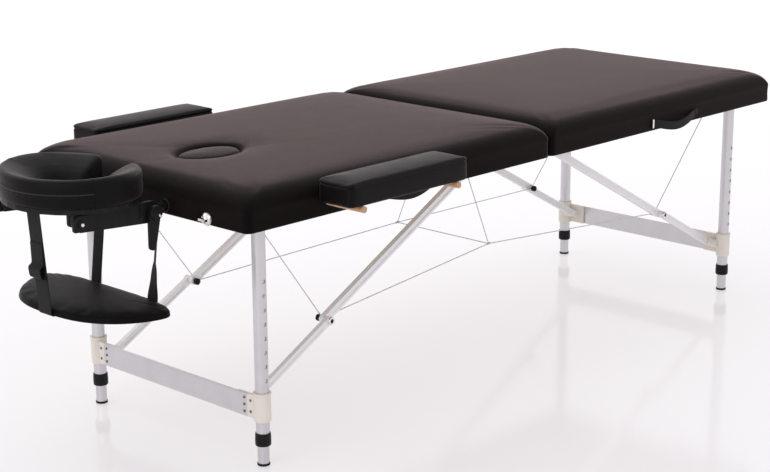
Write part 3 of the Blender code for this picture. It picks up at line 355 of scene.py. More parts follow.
@dataclass(frozen=True)
class Leather(Finish):
    """Grained upholstery cover with a soft sheen."""

    grain: float = 0.0016
    roughness: float = 0.50
    slack: float = 0.0010
    gloss: float = 0.08
    sheen: float = 0.10
    sheen_spread: float = 0.34
    sheen_tint: Colour = (1.0, 0.71, 0.70)

    def paint(self, graph: Graph) -> bpy.types.Material:
        """Pebbles between fine creases darkened by painted shade, over slow waves of the stretched
        cover.

        Args:
            graph: the material's empty node tree.

        Returns:
            The finished material.
        """
        place = graph.coords(Space.OBJECT)
        warp = graph.noise(place, 0.5 / self.grain, 2.0)
        creases = graph.node(
            "ShaderNodeTexVoronoi",
            {"feature": "DISTANCE_TO_EDGE"},
            {"Vector": place, "Scale": 1 / self.grain, "Randomness": 0.9},
        )
        pebble = creases.fade(0.0, 0.28)
        slow = graph.noise(place, 6.0, 2.0)
        patch = graph.noise(place, 38.0, 4.0)
        waves = graph.bump(slow, self.slack)
        grained = graph.bump(pebble * 0.75 + warp * 0.5, self.grain * 0.07, waves)
        shade = graph.mix(darker(self.tint, 0.25), lighter(self.tint, 0.004), patch)
        # painted shade: the base colour is darker in the grain's creases
        crease_shaded = graph.mix(darker(self.tint, 0.45), shade, pebble)
        return graph.surface(
            Base_Color=crease_shaded,
            Roughness=self.roughness + 0.12 * (patch - 0.5) - 0.05 * pebble,
            Normal=grained,
            Specular_IOR_Level=self.gloss,
            Sheen_Weight=self.sheen,
            Sheen_Roughness=self.sheen_spread,
            Sheen_Tint=rgba(self.sheen_tint),
        )


@dataclass(frozen=True)
class Metal(Finish):
    """Satin metal with drawing lines along one axis."""

    roughness: float = 0.30
    grain: Axis = Axis.Z
    lines: float = 1400.0
    depth: float = 0.00002
    metal: float = 1.0

    def paint(self, graph: Graph) -> bpy.types.Material:
        """Long noise streaks along the grain, with cloudy patches and a few marks.

        Args:
            graph: the material's empty node tree.

        Returns:
            The finished material.
        """
        stretch = tuple(0.02 if value else 1.0 for value in self.grain.value)
        streaks = graph.noise(graph.coords(Space.OBJECT, stretch), self.lines, 2.0)
        cloud = graph.noise(graph.coords(Space.OBJECT), 22.0, 4.0)
        marks = graph.noise(graph.coords(Space.OBJECT), 210.0, 5.0).fade(0.66, 0.74)
        colour = graph.mix(darker(self.tint, 0.10), lighter(self.tint, 0.10), cloud)
        scuffed = graph.mix(colour, darker(self.tint, 0.30), marks * 0.35)
        dull = 0.14 * (streaks - 0.5) + 0.10 * (cloud - 0.5) + 0.12 * marks
        return graph.surface(
            Base_Color=scuffed,
            Metallic=self.metal,
            Roughness=self.roughness + dull,
            Normal=graph.bump(streaks, self.depth),
        )


@dataclass(frozen=True)
class Moulded(Finish):
    """Moulded plastic with a fine spark texture."""

    roughness: float = 0.42
    texture: float = 1900.0
    depth: float = 0.00005
    gloss: float = 0.5

    def paint(self, graph: Graph) -> bpy.types.Material:
        """Fine spark pits with slow flow marks and handled patches.

        Args:
            graph: the material's empty node tree.

        Returns:
            The finished material.
        """
        place = graph.coords(Space.OBJECT)
        pits = graph.noise(place, self.texture, 2.0)
        flow = graph.noise(graph.coords(Space.OBJECT, (1.0, 1.0, 0.25)), 60.0, 3.0)
        handled = graph.noise(place, 14.0, 5.0)
        colour = graph.mix(darker(self.tint, 0.14), lighter(self.tint, 0.01), flow)
        dusty = graph.mix(colour, lighter(self.tint, 0.012), handled.fade(0.55, 0.75) * 0.5)
        return graph.surface(
            Base_Color=dusty,
            Roughness=self.roughness + 0.14 * (handled - 0.5) + 0.06 * (pits - 0.5),
            Normal=graph.bump(pits * 0.6 + flow * 0.4, self.depth),
            Specular_IOR_Level=self.gloss,
        )


@dataclass(frozen=True)
class Wood(Finish):
    """Bare wood with growth lines along one axis and short flecks."""

    grain: Axis = Axis.Y
    lines: float = 260.0
    roughness: float = 0.55

    def paint(self, graph: Graph) -> bpy.types.Material:
        """Stretched noise for the growth lines and shorter, finer streaks for the pores.

        Args:
            graph: the material's empty node tree.

        Returns:
            The finished material.
        """
        along = tuple(0.06 if value else 1.0 for value in self.grain.value)
        growth = graph.noise(graph.coords(Space.OBJECT, along), self.lines, 4.0)
        short = tuple(0.16 if value else 1.0 for value in self.grain.value)
        fine = graph.noise(graph.coords(Space.OBJECT, short), self.lines * 6, 2.0)
        pores = fine.fade(0.60, 0.70)
        slow = graph.noise(graph.coords(Space.OBJECT), 12.0, 3.0)
        rings = growth.fade(0.3, 0.7)
        light = graph.mix(darker(self.tint, 0.22), lighter(self.tint, 0.16), rings)
        toned = graph.mix(light, darker(self.tint, 0.18), slow * 0.5)
        colour = graph.mix(toned, darker(self.tint, 0.45), pores * 0.6)
        return graph.surface(
            Base_Color=colour,
            Roughness=self.roughness + 0.12 * (growth - 0.5) + 0.10 * pores,
            Normal=graph.bump(growth - pores * 0.6, 0.00012),
        )


@dataclass(frozen=True)
class Webbing(Finish):
    """Woven strap: ribs along it, crossed by the weft. Follows the strap's own UV in metres."""

    rib: float = 0.0016
    weft: float = 0.0022

    def paint(self, graph: Graph) -> bpy.types.Material:
        """Ribs by sin(across / rib), each shifting the weft's sin(along / weft).

        Args:
            graph: the material's empty node tree.

        Returns:
            The finished material.
        """
        place = graph.coords(Space.SURFACE)
        along, wide = place.part(0), place.part(1)
        ribs = (wide * (TAU / self.rib)).sine()
        crossing = (along * (TAU / self.weft) + ribs * 1.6).sine()
        height = ribs * 0.35 + crossing * 0.30 + 0.5
        fuzz = graph.noise(graph.coords(Space.OBJECT), 2600.0, 2.0)
        # painted shade in the weave's hollows and a painted highlight on its raised ribs
        colour = graph.mix(darker(self.tint, 0.5), lighter(self.tint, 0.012), height)
        return graph.surface(
            Base_Color=graph.mix(colour, lighter(self.tint, 0.02), fuzz.fade(0.6, 0.8) * 0.4),
            Roughness=0.70 + 0.20 * (fuzz - 0.5),
            Normal=graph.bump(height + fuzz * 0.3, 0.00025),
            Specular_IOR_Level=0.15,
            Sheen_Weight=0.04,
            Sheen_Roughness=0.5,
        )


@dataclass(frozen=True)
class Teeth(Finish):
    """Coil of a slide fastener. UV: metres along it, then metres across."""

    pitch: float = 0.0018

    def paint(self, graph: Graph) -> bpy.types.Material:
        """Teeth by sin(along / pitch), the two rows half a tooth apart.

        Args:
            graph: the material's empty node tree.

        Returns:
            The finished material.
        """
        place = graph.coords(Space.SURFACE)
        along, wide = place.part(0), place.part(1)
        row = wide.fade(-0.0002, 0.0002)
        tooth = (along * (TAU / self.pitch) + row * math.pi).sine() * 0.5 + 0.5
        scuff = graph.noise(graph.coords(Space.OBJECT), 180.0, 3.0)
        # painted shade in the gaps between the teeth and a painted highlight on their tops
        return graph.surface(
            Base_Color=graph.mix(darker(self.tint, 0.6), lighter(self.tint, 0.02), tooth),
            Roughness=0.42 + 0.2 * (scuff - 0.5),
            Normal=graph.bump(tooth, 0.0005),
            Specular_IOR_Level=0.3,
        )


@dataclass(frozen=True)
class Strand(Finish):
    """Stranded steel cable. UV: metres along it, then the share of a turn round it."""

    lay: float = 0.011
    strands: int = 7
    roughness: float = 0.34

    def paint(self, graph: Graph) -> bpy.types.Material:
        """Strands by sin(strands * turn + along / lay), dark between them.

        Args:
            graph: the material's empty node tree.

        Returns:
            The finished material.
        """
        place = graph.coords(Space.SURFACE)
        along, around = place.part(0), place.part(1)
        twist = around * (TAU * self.strands) + along * (TAU * self.strands / self.lay)
        ridge = twist.sine() * 0.5 + 0.5
        dull = graph.noise(graph.coords(Space.OBJECT), 90.0, 4.0)
        # painted shade between the strands and a painted highlight on their crowns
        shade = graph.mix(darker(self.tint, 0.35), lighter(self.tint, 0.10), ridge.fade(0.0, 0.55))
        return graph.surface(
            Base_Color=graph.mix(shade, darker(self.tint, 0.35), dull.fade(0.45, 0.8) * 0.5),
            Metallic=0.9,
            Roughness=self.roughness + 0.2 * (dull - 0.5) + 0.1 * (1 - ridge),
            Normal=graph.bump(ridge, 0.0002),
        )


BLACK_LEATHER = Leather(
    "black_leather", "leather", (0.0042, 0.0030, 0.0031), gloss=0.03, sheen=0.30
)
CRADLE_LEATHER = Leather(
    "cradle_leather", "leather", (0.0044, 0.0036, 0.0042),
    grain=0.0013, roughness=0.42, slack=0.0016, gloss=0.09,
)
SHELF_LEATHER = replace(
    CRADLE_LEATHER, name="shelf_leather", roughness=0.46, gloss=0.05, sheen=0.03
)
LEG_ALUMINIUM = Metal(
    "leg_aluminium", "aluminium", (0.62, 0.60, 0.625), roughness=0.34, metal=0.85
)
BAR_ALUMINIUM = Metal(
    "bar_aluminium", "aluminium", (0.88, 0.865, 0.885),
    roughness=0.38, grain=Axis.X, metal=0.25,
)
BEAM_ALUMINIUM = Metal(
    "beam_aluminium", "aluminium", (0.62, 0.605, 0.625),
    roughness=0.36, grain=Axis.Y, metal=0.85,
)
ZINC_STEEL = Metal("zinc_steel", "steel", (0.50, 0.50, 0.52), grain=Axis.Y, lines=900.0)
DARK_STEEL = replace(ZINC_STEEL, name="dark_steel", tint=(0.10, 0.10, 0.105), roughness=0.34)
NICKEL = Metal(
    "bright_nickel", "nickel", (0.78, 0.76, 0.73), roughness=0.14, lines=700.0, depth=0.00001
)
CREAM_PLASTIC = Moulded("cream_plastic", "bracket", (0.82, 0.765, 0.69), roughness=0.40)
BLACK_PLASTIC = Moulded(
    "black_plastic_moulded", "black_plastic", (0.0052, 0.0050, 0.0056),
    roughness=0.38, depth=0.00004, gloss=0.12,
)
BEECH = Wood("beech_dowel", "dowel", (0.60, 0.33, 0.15))
BIRCH_PLY = Wood("birch_panel", "plywood", (0.54, 0.44, 0.33), grain=Axis.X, lines=120.0)
BLACK_WEBBING = Webbing("black_webbing", "webbing", (0.006, 0.006, 0.0065))
ZIP_TEETH = Teeth("zip_teeth", "black_plastic", (0.008, 0.008, 0.009))
STEEL_STRAND = Strand("steel_strand", "steel", (0.74, 0.74, 0.76))


@dataclass
class Patch:
    """Points, faces and the UV of every face corner of a surface."""

    points: Array
    faces: list[list[int]]
    uv: Array


def lattice(
    points: Array, wrap_rows: bool = False, wrap_cols: bool = False, uv: Optional[Array] = None
) -> Patch:
    """Quads over a grid of points: (i, j), (i+1, j), (i+1, j+1), (i, j+1).

    Args:
        points: the grid, rows by columns by three.
        wrap_rows: True where the last row joins the first.
        wrap_cols: True where the last column joins the first.
        uv: UV of the grid, with one more line in each wrapped direction.

    Returns:
        The surface.
    """
    rows, cols = points.shape[:2]
    i, j = np.meshgrid(
        np.arange(rows if wrap_rows else rows - 1),
        np.arange(cols if wrap_cols else cols - 1),
        indexing="ij",
    )
    corner_i = np.stack([i, i + 1, i + 1, i], -1).reshape(-1, 4)
    corner_j = np.stack([j, j, j + 1, j + 1], -1).reshape(-1, 4)
    quads = corner_i % rows * cols + corner_j % cols
    if uv is None:
        uv = np.zeros((rows + 1, cols + 1, 2))
    return Patch(points.reshape(-1, 3), quads.tolist(), uv[corner_i, corner_j].reshape(-1, 2))


def across(first: int, count: int) -> list[list[int]]:
    """Faces that fill a ring whose point j faces point count - j.

    Args:
        first: number of the ring's first point.
        count: how many points it has.

    Returns:
        A triangle at each end and quads between them.
    """
    half = count // 2
    j = np.arange(1, half - 1)
    strips = first + np.stack([j, j + 1, count - j - 1, count - j], -1)
    last = first + count
    tips = [[first, first + 1, last - 1], [first + half - 1, first + half, last - half + 1]]
    return strips.tolist() + tips


def skin(rings: Array, loop: bool = False, uv: Optional[Array] = None) -> Patch:
    """Closed skin over rings of points.

    Args:
        rings: rings by points by three, each ring of an even number of points.
        loop: True where the last ring joins the first, so that no end is filled.
        uv: UV of the grid, with one more line in each wrapped direction.

    Returns:
        The surface.
    """
    patch = lattice(rings, wrap_rows=loop, wrap_cols=True, uv=uv)
    if not loop:
        count = rings.shape[1]
        ends = across(0, count) + across((rings.shape[0] - 1) * count, count)
        corners = sum(len(face) for face in ends)
        uv = np.concatenate([patch.uv, np.zeros((corners, 2))])
        patch = Patch(patch.points, patch.faces + ends, uv)
    return patch


def joined(*patches: Patch) -> Patch:
    """Several surfaces as one.

    Args:
        patches: the surfaces.

    Returns:
        All their points and faces.
    """
    starts = np.cumsum([0] + [len(patch.points) for patch in patches]).tolist()
    faces = [
        [start + index for index in face]
        for patch, start in zip(patches, starts)
        for face in patch.faces
    ]
    points = np.concatenate([patch.points for patch in patches])
    return Patch(points, faces, np.concatenate([patch.uv for patch in patches]))


def unit(vectors: Array) -> Array:
    """The vectors, each at a length of 1."""
    return vectors / np.linalg.norm(vectors, axis=-1, keepdims=True)


def lengths(line: Array) -> Array:
    """Length of a line from its start to each of its points."""
    return np.concatenate([[0.0], np.cumsum(np.linalg.norm(np.diff(line, axis=0), axis=1))])


def at_lengths(line: Array, at: Array) -> Array:
    """Points of a line at some lengths from its start."""
    way = lengths(line)
    return np.stack([np.interp(at, way, column) for column in line.T], -1)


def facing(profile: Outline, way: int) -> Outline:
    """The profile with its heights towards one side, 1, or the other, -1."""
    return [(radius, way * height) for radius, height in profile]


def turned(
    profile: Outline, centre: Point, axis: Axis = Axis.Z, sides: int = 32, loop: bool = False
) -> Patch:
    """Profile of (radius, height) turned about an axis.

    A point is centre + height * axis + radius * (cos, sin).

    Args:
        profile: the outline, in order.
        centre: point where the height is zero.
        axis: the axis of turning.
        sides: points round it.
        loop: True where the outline closes on itself, as in a ring.

    Returns:
        The surface.
    """
    shape = np.array(profile, float)
    along = np.array(axis.value)
    first = np.array((along[1] + along[2], 0.0, along[0]))
    second = np.cross(along, first)
    angle = np.linspace(0, TAU, sides, endpoint=False)
    spoke = np.cos(angle)[:, None] * first + np.sin(angle)[:, None] * second
    rings = np.array(centre) + shape[:, 1, None, None] * along + shape[:, 0, None, None] * spoke
    return skin(rings, loop)


def sweep(path: Array, section: Array, side: Array, loop: bool = False) -> Patch:
    """Section carried along a path: point + x * side + y * (side x heading).

    Args:
        path: points of the path.
        section: closed outline as (x, y), its x across the strip.
        side: direction of x, one vector or one for each point.
        loop: True where the path closes on itself.

    Returns:
        The surface. Its UV is metres along the path, then the section's x in metres.
    """
    heading = np.roll(path, -1, 0) - np.roll(path, 1, 0) if loop else np.gradient(path, axis=0)
    heading = unit(heading)
    side = np.broadcast_to(np.asarray(side, float), path.shape)
    side = unit(side - heading * np.sum(side * heading, 1, keepdims=True))
    rise = np.cross(side, heading)
    flat = section[None, :, :1] * side[:, None]
    rings = path[:, None] + flat + section[None, :, 1:] * rise[:, None]
    length = lengths(np.concatenate([path, path[:1]]) if loop else path)[:, None]
    wide = np.append(section[:, 0], section[0, 0])[None]
    return skin(rings, loop, np.stack(np.broadcast_arrays(length, wide), -1))


def round_skin(path: Array, radius: float, sides: int = 10) -> Patch:
    """Round tube along a path.

    Args:
        path: points of the path, none of them turning back.
        radius: the tube's radius.
        sides: points round it.

    Returns:
        The surface. Its UV is metres along it, then the share of a turn.
    """
    angle = np.linspace(0, TAU, sides, endpoint=False)
    heading = path[-1] - path[0]
    steep = abs(heading[2]) > 0.9 * np.linalg.norm(heading)
    section = radius * np.stack([np.cos(angle), np.sin(angle)], -1)
    patch = sweep(path, section, np.cross(heading, ALONG if steep else UP))
    turn = np.arange(sides) / sides
    turns = np.stack([turn, turn, turn + 1 / sides, turn + 1 / sides], -1)
    spans = len(path) - 1
    patch.uv[: spans * sides * 4, 1] = np.broadcast_to(turns, (spans, sides, 4)).ravel()
    return patch


def capsule(length: float, width: float, sides: int = 8) -> Array:
    """Outline of a flat strip with round edges.

    Args:
        length: its whole width across.
        width: its thickness.
        sides: points of each round edge.

    Returns:
        Points as (x, y).
    """
    angle = np.linspace(-QUARTER, QUARTER, sides)
    arc = width / 2 * np.stack([np.cos(angle), np.sin(angle)], -1)
    reach = np.array((length / 2 - width / 2, 0.0))
    middle = np.array([[length / 4, width / 2], [0.0, width / 2], [-length / 4, width / 2]])
    return np.concatenate([arc + reach, middle, -arc - reach, -middle])


def spaced(rough: Array, step: float, closest: float = 0.08) -> Array:
    """Points along a broken line, no further apart than a step and keeping its corners.

    Args:
        rough: the line's corners.
        step: largest spacing of the result.
        closest: share of a step below which a point is dropped.

    Returns:
        The points.
    """
    way = lengths(rough)
    even = np.unique(np.concatenate([way, np.arange(0, way[-1], step)]))
    even = even[np.concatenate([[True], np.diff(even) > step * closest])]
    return at_lengths(rough, even)


def bent(points: Sequence[Point], radius: float, step: float) -> Array:
    """Path through corner points, each corner rounded by a parabola.

    Args:
        points: the corners, ends included.
        radius: how far from a corner its rounding starts.
        step: largest spacing of the result.

    Returns:
        The points of the path.
    """
    corner = np.array(points, float)
    before, here, after = corner[:-2], corner[1:-1], corner[2:]
    start = here + unit(before - here) * radius
    end = here + unit(after - here) * radius
    t = np.linspace(0, 1, 9)[None, :, None]
    arcs = (1 - t) ** 2 * start[:, None] + 2 * t * (1 - t) * here[:, None] + t**2 * end[:, None]
    return spaced(np.concatenate([corner[:1], arcs.reshape(-1, 3), corner[-1:]]), step)


def outline(points: Outline, count: int) -> Array:
    """A closed line of (x, y) points at even steps of its own length.

    Args:
        points: the line's corners, without the first one again.
        count: how many points are wanted.

    Returns:
        The points.
    """
    loop = np.array([*points, points[0]], float)
    return at_lengths(loop, np.linspace(0, lengths(loop)[-1], count, endpoint=False))


def stitches(line: Array, pitch: float, radius: float) -> Patch:
    """A row of short threads along a line, each a tube over two thirds of its pitch.

    Args:
        line: points that the row follows.
        pitch: from one stitch to the next.
        radius: radius of the thread.

    Returns:
        The surface of all the stitches.
    """
    starts = np.arange(pitch / 2, lengths(line)[-1] - pitch, pitch)
    at = starts[:, None] + np.array((0.0, 0.12, 0.33, 0.54, 0.66)) * pitch
    return joined(*[round_skin(thread, radius, 6) for thread in at_lengths(line, at)])


def new_piece(
    name: str, patch: Patch, finish: Finish, body: Optional[str] = None, crease: float = 40.0
) -> bpy.types.Object:
    """Put a surface into the scene as one piece.

    Args:
        name: the piece's name.
        patch: its surface.
        finish: what it is made of.
        body: CAD body that it rides on, or None for a piece that rides on none.
        crease: angle in degrees past which an edge stays sharp.

    Returns:
        The new object.
    """
    mesh = bpy.data.meshes.new(name)
    mesh.from_pydata(patch.points.tolist(), [], patch.faces)
    layer = mesh.uv_layers.new(name="surface")
    layer.data.foreach_set("uv", patch.uv.astype(np.float32).ravel())
    work = bmesh.new()
    work.from_mesh(mesh)
    bmesh.ops.recalc_face_normals(work, faces=work.faces)
    work.to_mesh(mesh)
    work.free()
    mesh.shade_smooth()
    mesh.set_sharp_from_angle(angle=math.radians(crease))
    mesh.materials.append(finish.material())
    piece = bpy.data.objects.new(name, mesh)
    bpy.context.scene.collection.objects.link(piece)
    if body:
        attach(piece, body)
    LOG.info("piece %s: %d faces", name, len(mesh.polygons))
    return piece


def places(piece: bpy.types.Object) -> Array:
    """Points of a piece's mesh.

    Args:
        piece: the piece.

    Returns:
        The points as an array.
    """
    flat = np.empty(len(piece.data.vertices) * 3, np.float32)
    piece.data.vertices.foreach_get("co", flat)
    return flat.reshape(-1, 3).astype(float)


def flat_ring(plan: Array, z: float) -> Array:
    """Points of a plan at one height."""
    return np.concatenate([plan, np.full((len(plan), 1), z)], 1)


@dataclass(frozen=True)
class Padding:
    """Filling of a cover.

    The cap is the most that a point may move, the room how far past its CAD pad's box the
    cover may reach on each axis. The fill, from 0, slack, to 1, tight, is not used.
    """

    cap: float
    room: Point
    fill: float
    FRAMES: ClassVar[int] = 20
    CLOTH: ClassVar[dict[str, Any]] = {
        "quality": 4,
        "mass": 0.3,
        "tension_stiffness": 18,
        "compression_stiffness": 18,
        "shear_stiffness": 6,
        "bending_stiffness": 0.6,
        "use_pressure": True,
        "uniform_pressure_force": 4.0,
        "vertex_group_mass": "held",
    }

    def swell(self, piece: bpy.types.Object, held: Array, low: Array, high: Array) -> None:
        """Fill a cover by a cloth simulation with pressure inside it, and keep the result.

        A point's move d becomes d / (1 + |d| / cap), so none goes further than the cap.

        Args:
            piece: the cover.
            held: True for each point that stays where it is.
            low: lowest corner that the cover may reach.
            high: highest corner that it may reach.
        """
        start = places(piece)
        group = piece.vertex_groups.new(name="held")
        group.add(np.flatnonzero(held).tolist(), 1.0, "REPLACE")
        cloth = piece.modifiers.new("filling", "CLOTH")
        for key, value in self.CLOTH.items():
            setattr(cloth.settings, key, value)
        cloth.settings.effector_weights.gravity = 0.0
        cloth.collision_settings.use_collision = False
        scene = bpy.context.scene
        for frame in range(1, self.FRAMES + 1):
            scene.frame_set(frame)
        move = places(piece.evaluated_get(bpy.context.evaluated_depsgraph_get())) - start
        piece.modifiers.remove(cloth)
        piece.vertex_groups.clear()
        scene.frame_set(1)
        move /= 1 + np.linalg.norm(move, axis=1, keepdims=True) / self.cap
        filled = np.where(held[:, None], start, np.clip(start + move, low, high))
        piece.data.vertices.foreach_set("co", filled.astype(np.float32).ravel())
        piece.data.update()

    def dress(self, piece: bpy.types.Object, node: str, held: Array) -> None:
        """Fill a cover, smooth it and let it stand for its CAD pad.

        Args:
            piece: the cover.
            node: the CAD pad.
            held: True for each point that the filling doesn't move.
        """
        low, high = (np.array(corner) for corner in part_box(node))
        self.swell(piece, held, low - self.room, high + self.room)
        smooth = piece.modifiers.new("smooth", "SUBSURF")
        smooth.levels = smooth.render_levels = 1
        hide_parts(node)


@dataclass(frozen=True)
class PlanRing:
    """Rounded rectangle whose points keep their numbers as it shrinks.

    Point 0 is in the middle of the +X side, and point j faces point count - j across Y = 0.
    """

    long_steps: int = 40
    short_steps: int = 30
    corner_steps: int = 8

    def points(self, half: Sequence[float], radius: float) -> Array:
        """The ring about the origin.

        Args:
            half: half its length and half its width.
            radius: its corner radius.

        Returns:
            Points as (x, y), anticlockwise.
        """
        reach = np.array((half[0] - radius, half[1] - radius))
        quarter = np.linspace(0, QUARTER, self.corner_steps + 1)
        signs = ((1, 1), (-1, 1), (-1, -1), (1, -1))
        parts = []
        for turn, sign in enumerate(signs):
            angle = quarter + turn * QUARTER
            arc = reach * sign + radius * np.stack([np.cos(angle), np.sin(angle)], -1)
            step = reach * signs[(turn + 1) % 4] - reach * sign
            steps = self.short_steps if turn % 2 else self.long_steps
            share = np.linspace(0, 1, steps + 1)[1:-1, None]
            parts += [arc, arc[-1] + step * share]
        return np.roll(np.concatenate(parts), self.short_steps // 2, axis=0)

    def level(
        self, centre: Sequence[float], half: Sequence[float], inset: float, radius: float, z: float
    ) -> Array:
        """The ring at a place and height, drawn in by an inset."""
        plan = self.points((half[0] - inset, half[1] - inset), radius) + np.asarray(centre)
        return flat_ring(plan, z)


@dataclass
class TopHalf:
    """Padded cover of one half of the table top.

    A row of the hem is a ring's inset and its height above the cover's lower edge.
    """

    end: str
    half_length: float = 0.930
    hinge_gap: float = 0.003
    half_width: float = 0.350
    hem_z: float = 0.522
    foam_z: float = 0.5669
    top_z: float = 0.6049
    crown: float = 0.004
    crown_flat: float = 0.04
    edge_radius: float = 0.033
    corner: float = 0.014
    top_corner: float = 0.050
    wall: float = 0.003
    wall_rise: float = 0.001
    waist: float = 0.0012
    hem: Outline = ((0.0010, 0.0006), (0.0020, 0.0))
    hem_rise: float = 0.004
    hole_x: float = -0.722 + HINGE_X
    hole_half: tuple[float, float] = (0.0768, 0.0528)
    core_half: tuple[float, float] = (0.26, 0.14)
    flare: float = 0.022
    lip_drop: float = 0.0002
    held_rise: float = 0.004
    held_flare: float = 0.6
    padding: Padding = Padding(0.004, (0.0002, 0.0002, 0.0035), 0.9)
    ring: PlanRing = PlanRing()

    @property
    def centre(self) -> tuple[float, float]:
        """Middle of the half in plan."""
        return (HINGE_X + ENDS[self.end] * (self.half_length + self.hinge_gap / 2) / 2, 0.0)

    @property
    def half(self) -> tuple[float, float]:
        """Half the cover's length and width."""
        return ((self.half_length - self.hinge_gap / 2) / 2, self.half_width)

    def level(self, inset: float, z: float, corner: float) -> Array:
        """One ring of the cover at a height, drawn in from its outline."""
        return self.ring.level(self.centre, self.half, inset, corner, z)

    def oval(self, grow: float) -> Array:
        """Ring round the face hole, or round the middle of a half without one.

        Its points lie on the rays from the oval's middle to the outline's points.

        Args:
            grow: how far outside the hole's wall.

        Returns:
            Points as (x, y).
        """
        head = self.end == "head"
        centre = np.array((self.hole_x, 0.0) if head else self.centre)
        half = np.array(self.hole_half if head else self.core_half)
        out = (self.level(self.edge_radius, 0.0, self.top_corner)[:, :2] - centre) / half
        return centre + (half + grow) * unit(out)

    def crowned(self, plan: Array) -> Array:
        """Points on the crown: z = top - crown * (1 - t)^2, t the share of the way in.

        Args:
            plan: points as (x, y).

        Returns:
            The points with their height.
        """
        inner = np.array(self.half) - self.edge_radius
        depth = np.min(inner - np.abs(plan - self.centre), axis=-1) / (inner[1] - self.crown_flat)
        z = self.top_z - self.crown * (1 - np.clip(depth, 0, 1)) ** 2
        return np.concatenate([plan, z[..., None]], -1)

    def cover(self) -> Array:
        """Grid of the cover: over the top, down the side and back under the foam.

        Returns:
            Its rings, starting at the hole's mouth or in the middle of the top.
        """
        edge = self.level(self.edge_radius, 0.0, self.top_corner)[:, :2]
        head = self.end == "head"
        share = np.linspace(0, 1, 15)[:, None, None]
        mouth = self.oval(self.flare if head else 0.0)
        rings = [*self.crowned(mouth * (1 - share) + edge * share)]
        shoulder = self.top_z - self.crown - self.edge_radius
        for angle in np.linspace(QUARTER, 0, 9)[1:]:
            corner = self.corner + (self.top_corner - self.corner) * angle / QUARTER
            inset = self.edge_radius * (1 - math.cos(angle))
            rings.append(self.level(inset, shoulder + self.edge_radius * math.sin(angle), corner))
        for z in np.linspace(shoulder, self.hem_z + self.hem_rise, 6)[1:]:
            inset = self.waist * math.sin(math.pi * (z - self.hem_z) / (shoulder - self.hem_z))
            rings.append(self.level(inset, z, self.corner))
        rings += [self.level(inset, self.hem_z + up, self.corner) for inset, up in self.hem]
        middle = (self.hem_z + self.foam_z) / 2
        for z in (self.hem_z + self.wall_rise, middle, self.foam_z):
            rings.append(self.level(self.wall, z, self.corner - self.wall))
        low = rings[-1][:, :2]
        for way in (0.5, 1.0):
            rings.append(flat_ring(low * (1 - way) + self.oval(0.0) * way, self.foam_z))
        if head:
            rings += [flat_ring(self.oval(grow), z) for grow, z in self.hole_steps()]
        return np.array(rings)

    def hole_steps(self) -> list[tuple[float, float]]:
        """Rings up the hole's wall and round its lip, short of the mouth.

        Returns:
            Growth and height of each.
        """
        start = self.top_z - self.flare
        wall = [(0.0, self.foam_z + (start - self.foam_z) * share) for share in (0.35, 0.7)]
        lip = []
        for angle in np.linspace(0, QUARTER, 7)[:-1]:
            z = start + self.flare * math.sin(angle) - self.lip_drop
            lip.append((self.flare * (1 - math.cos(angle)), z))
        return wall + lip

    def build(self) -> bpy.types.Object:
        """Make the cover, fill it and let it stand for the CAD pad.

        Returns:
            The cover.
        """
        head = self.end == "head"
        patch = skin(self.cover(), loop=head)
        piece = new_piece(f"{self.end}_cover", patch, BLACK_LEATHER, f"{self.end}_half")
        points = places(piece)
        held = points[:, 2] < self.foam_z + self.held_rise
        if head:
            mouth = np.array(self.hole_half) + self.flare * self.held_flare
            held |= np.sum(((points[:, :2] - (self.hole_x, 0.0)) / mouth) ** 2, axis=1) < 1
        self.padding.dress(piece, f"{self.end}_pad", held)
        return piece


@dataclass
class FacePlug:
    """Oval plug in the face hole.

    A row of the foot is a ring's inset and its height above the underside.
    """

    x: float = -0.722 + HINGE_X
    half: tuple[float, float] = (0.0765, 0.0525)
    low: float = 0.5669
    high: float = 0.6009
    edge: float = 0.013
    crown: float = 0.003
    core: float = 0.004
    foot: Outline = ((0.0008, 0.002), (0.0, 0.012))
    held_rise: float = 0.015
    sides: int = 72
    padding: Padding = Padding(0.002, (0.0001, 0.0001, 0.001), 0.85)

    def ring(self, inset: float, z: float) -> Array:
        """Oval drawn in by an inset: (a cos t, b sin t).

        Args:
            inset: how far it is drawn in.
            z: its height.

        Returns:
            The ring's points.
        """
        angle = np.linspace(0, TAU, self.sides, endpoint=False)
        a, b = self.half[0] - inset, self.half[1] - inset
        return flat_ring(np.stack([self.x + a * np.cos(angle), b * np.sin(angle)], -1), z)

    def build(self) -> bpy.types.Object:
        """Make the plug with its rounded edge.

        Returns:
            The plug.
        """
        core = self.half[1] - self.core
        rings = [self.ring(core * share, self.low) for share in (1.0, 0.5, 0.04)]
        rings += [self.ring(inset, self.low + up) for inset, up in self.foot]
        for angle in np.linspace(0, QUARTER, 8):
            inset = self.edge * (1 - math.cos(angle))
            rings.append(self.ring(inset, self.high - self.edge + self.edge * math.sin(angle)))
        for share in (0.25, 0.5, 0.75, 1.0):
            inset = self.edge + share * (core - self.edge)
            rings.append(self.ring(inset, self.high + self.crown * (1 - (1 - share) ** 2)))
        piece = new_piece("face_plug_cover", skin(np.array(rings)), BLACK_LEATHER, "face_plug")
        self.padding.dress(piece, "face_plug", places(piece)[:, 2] < self.low + self.held_rise)
        return piece


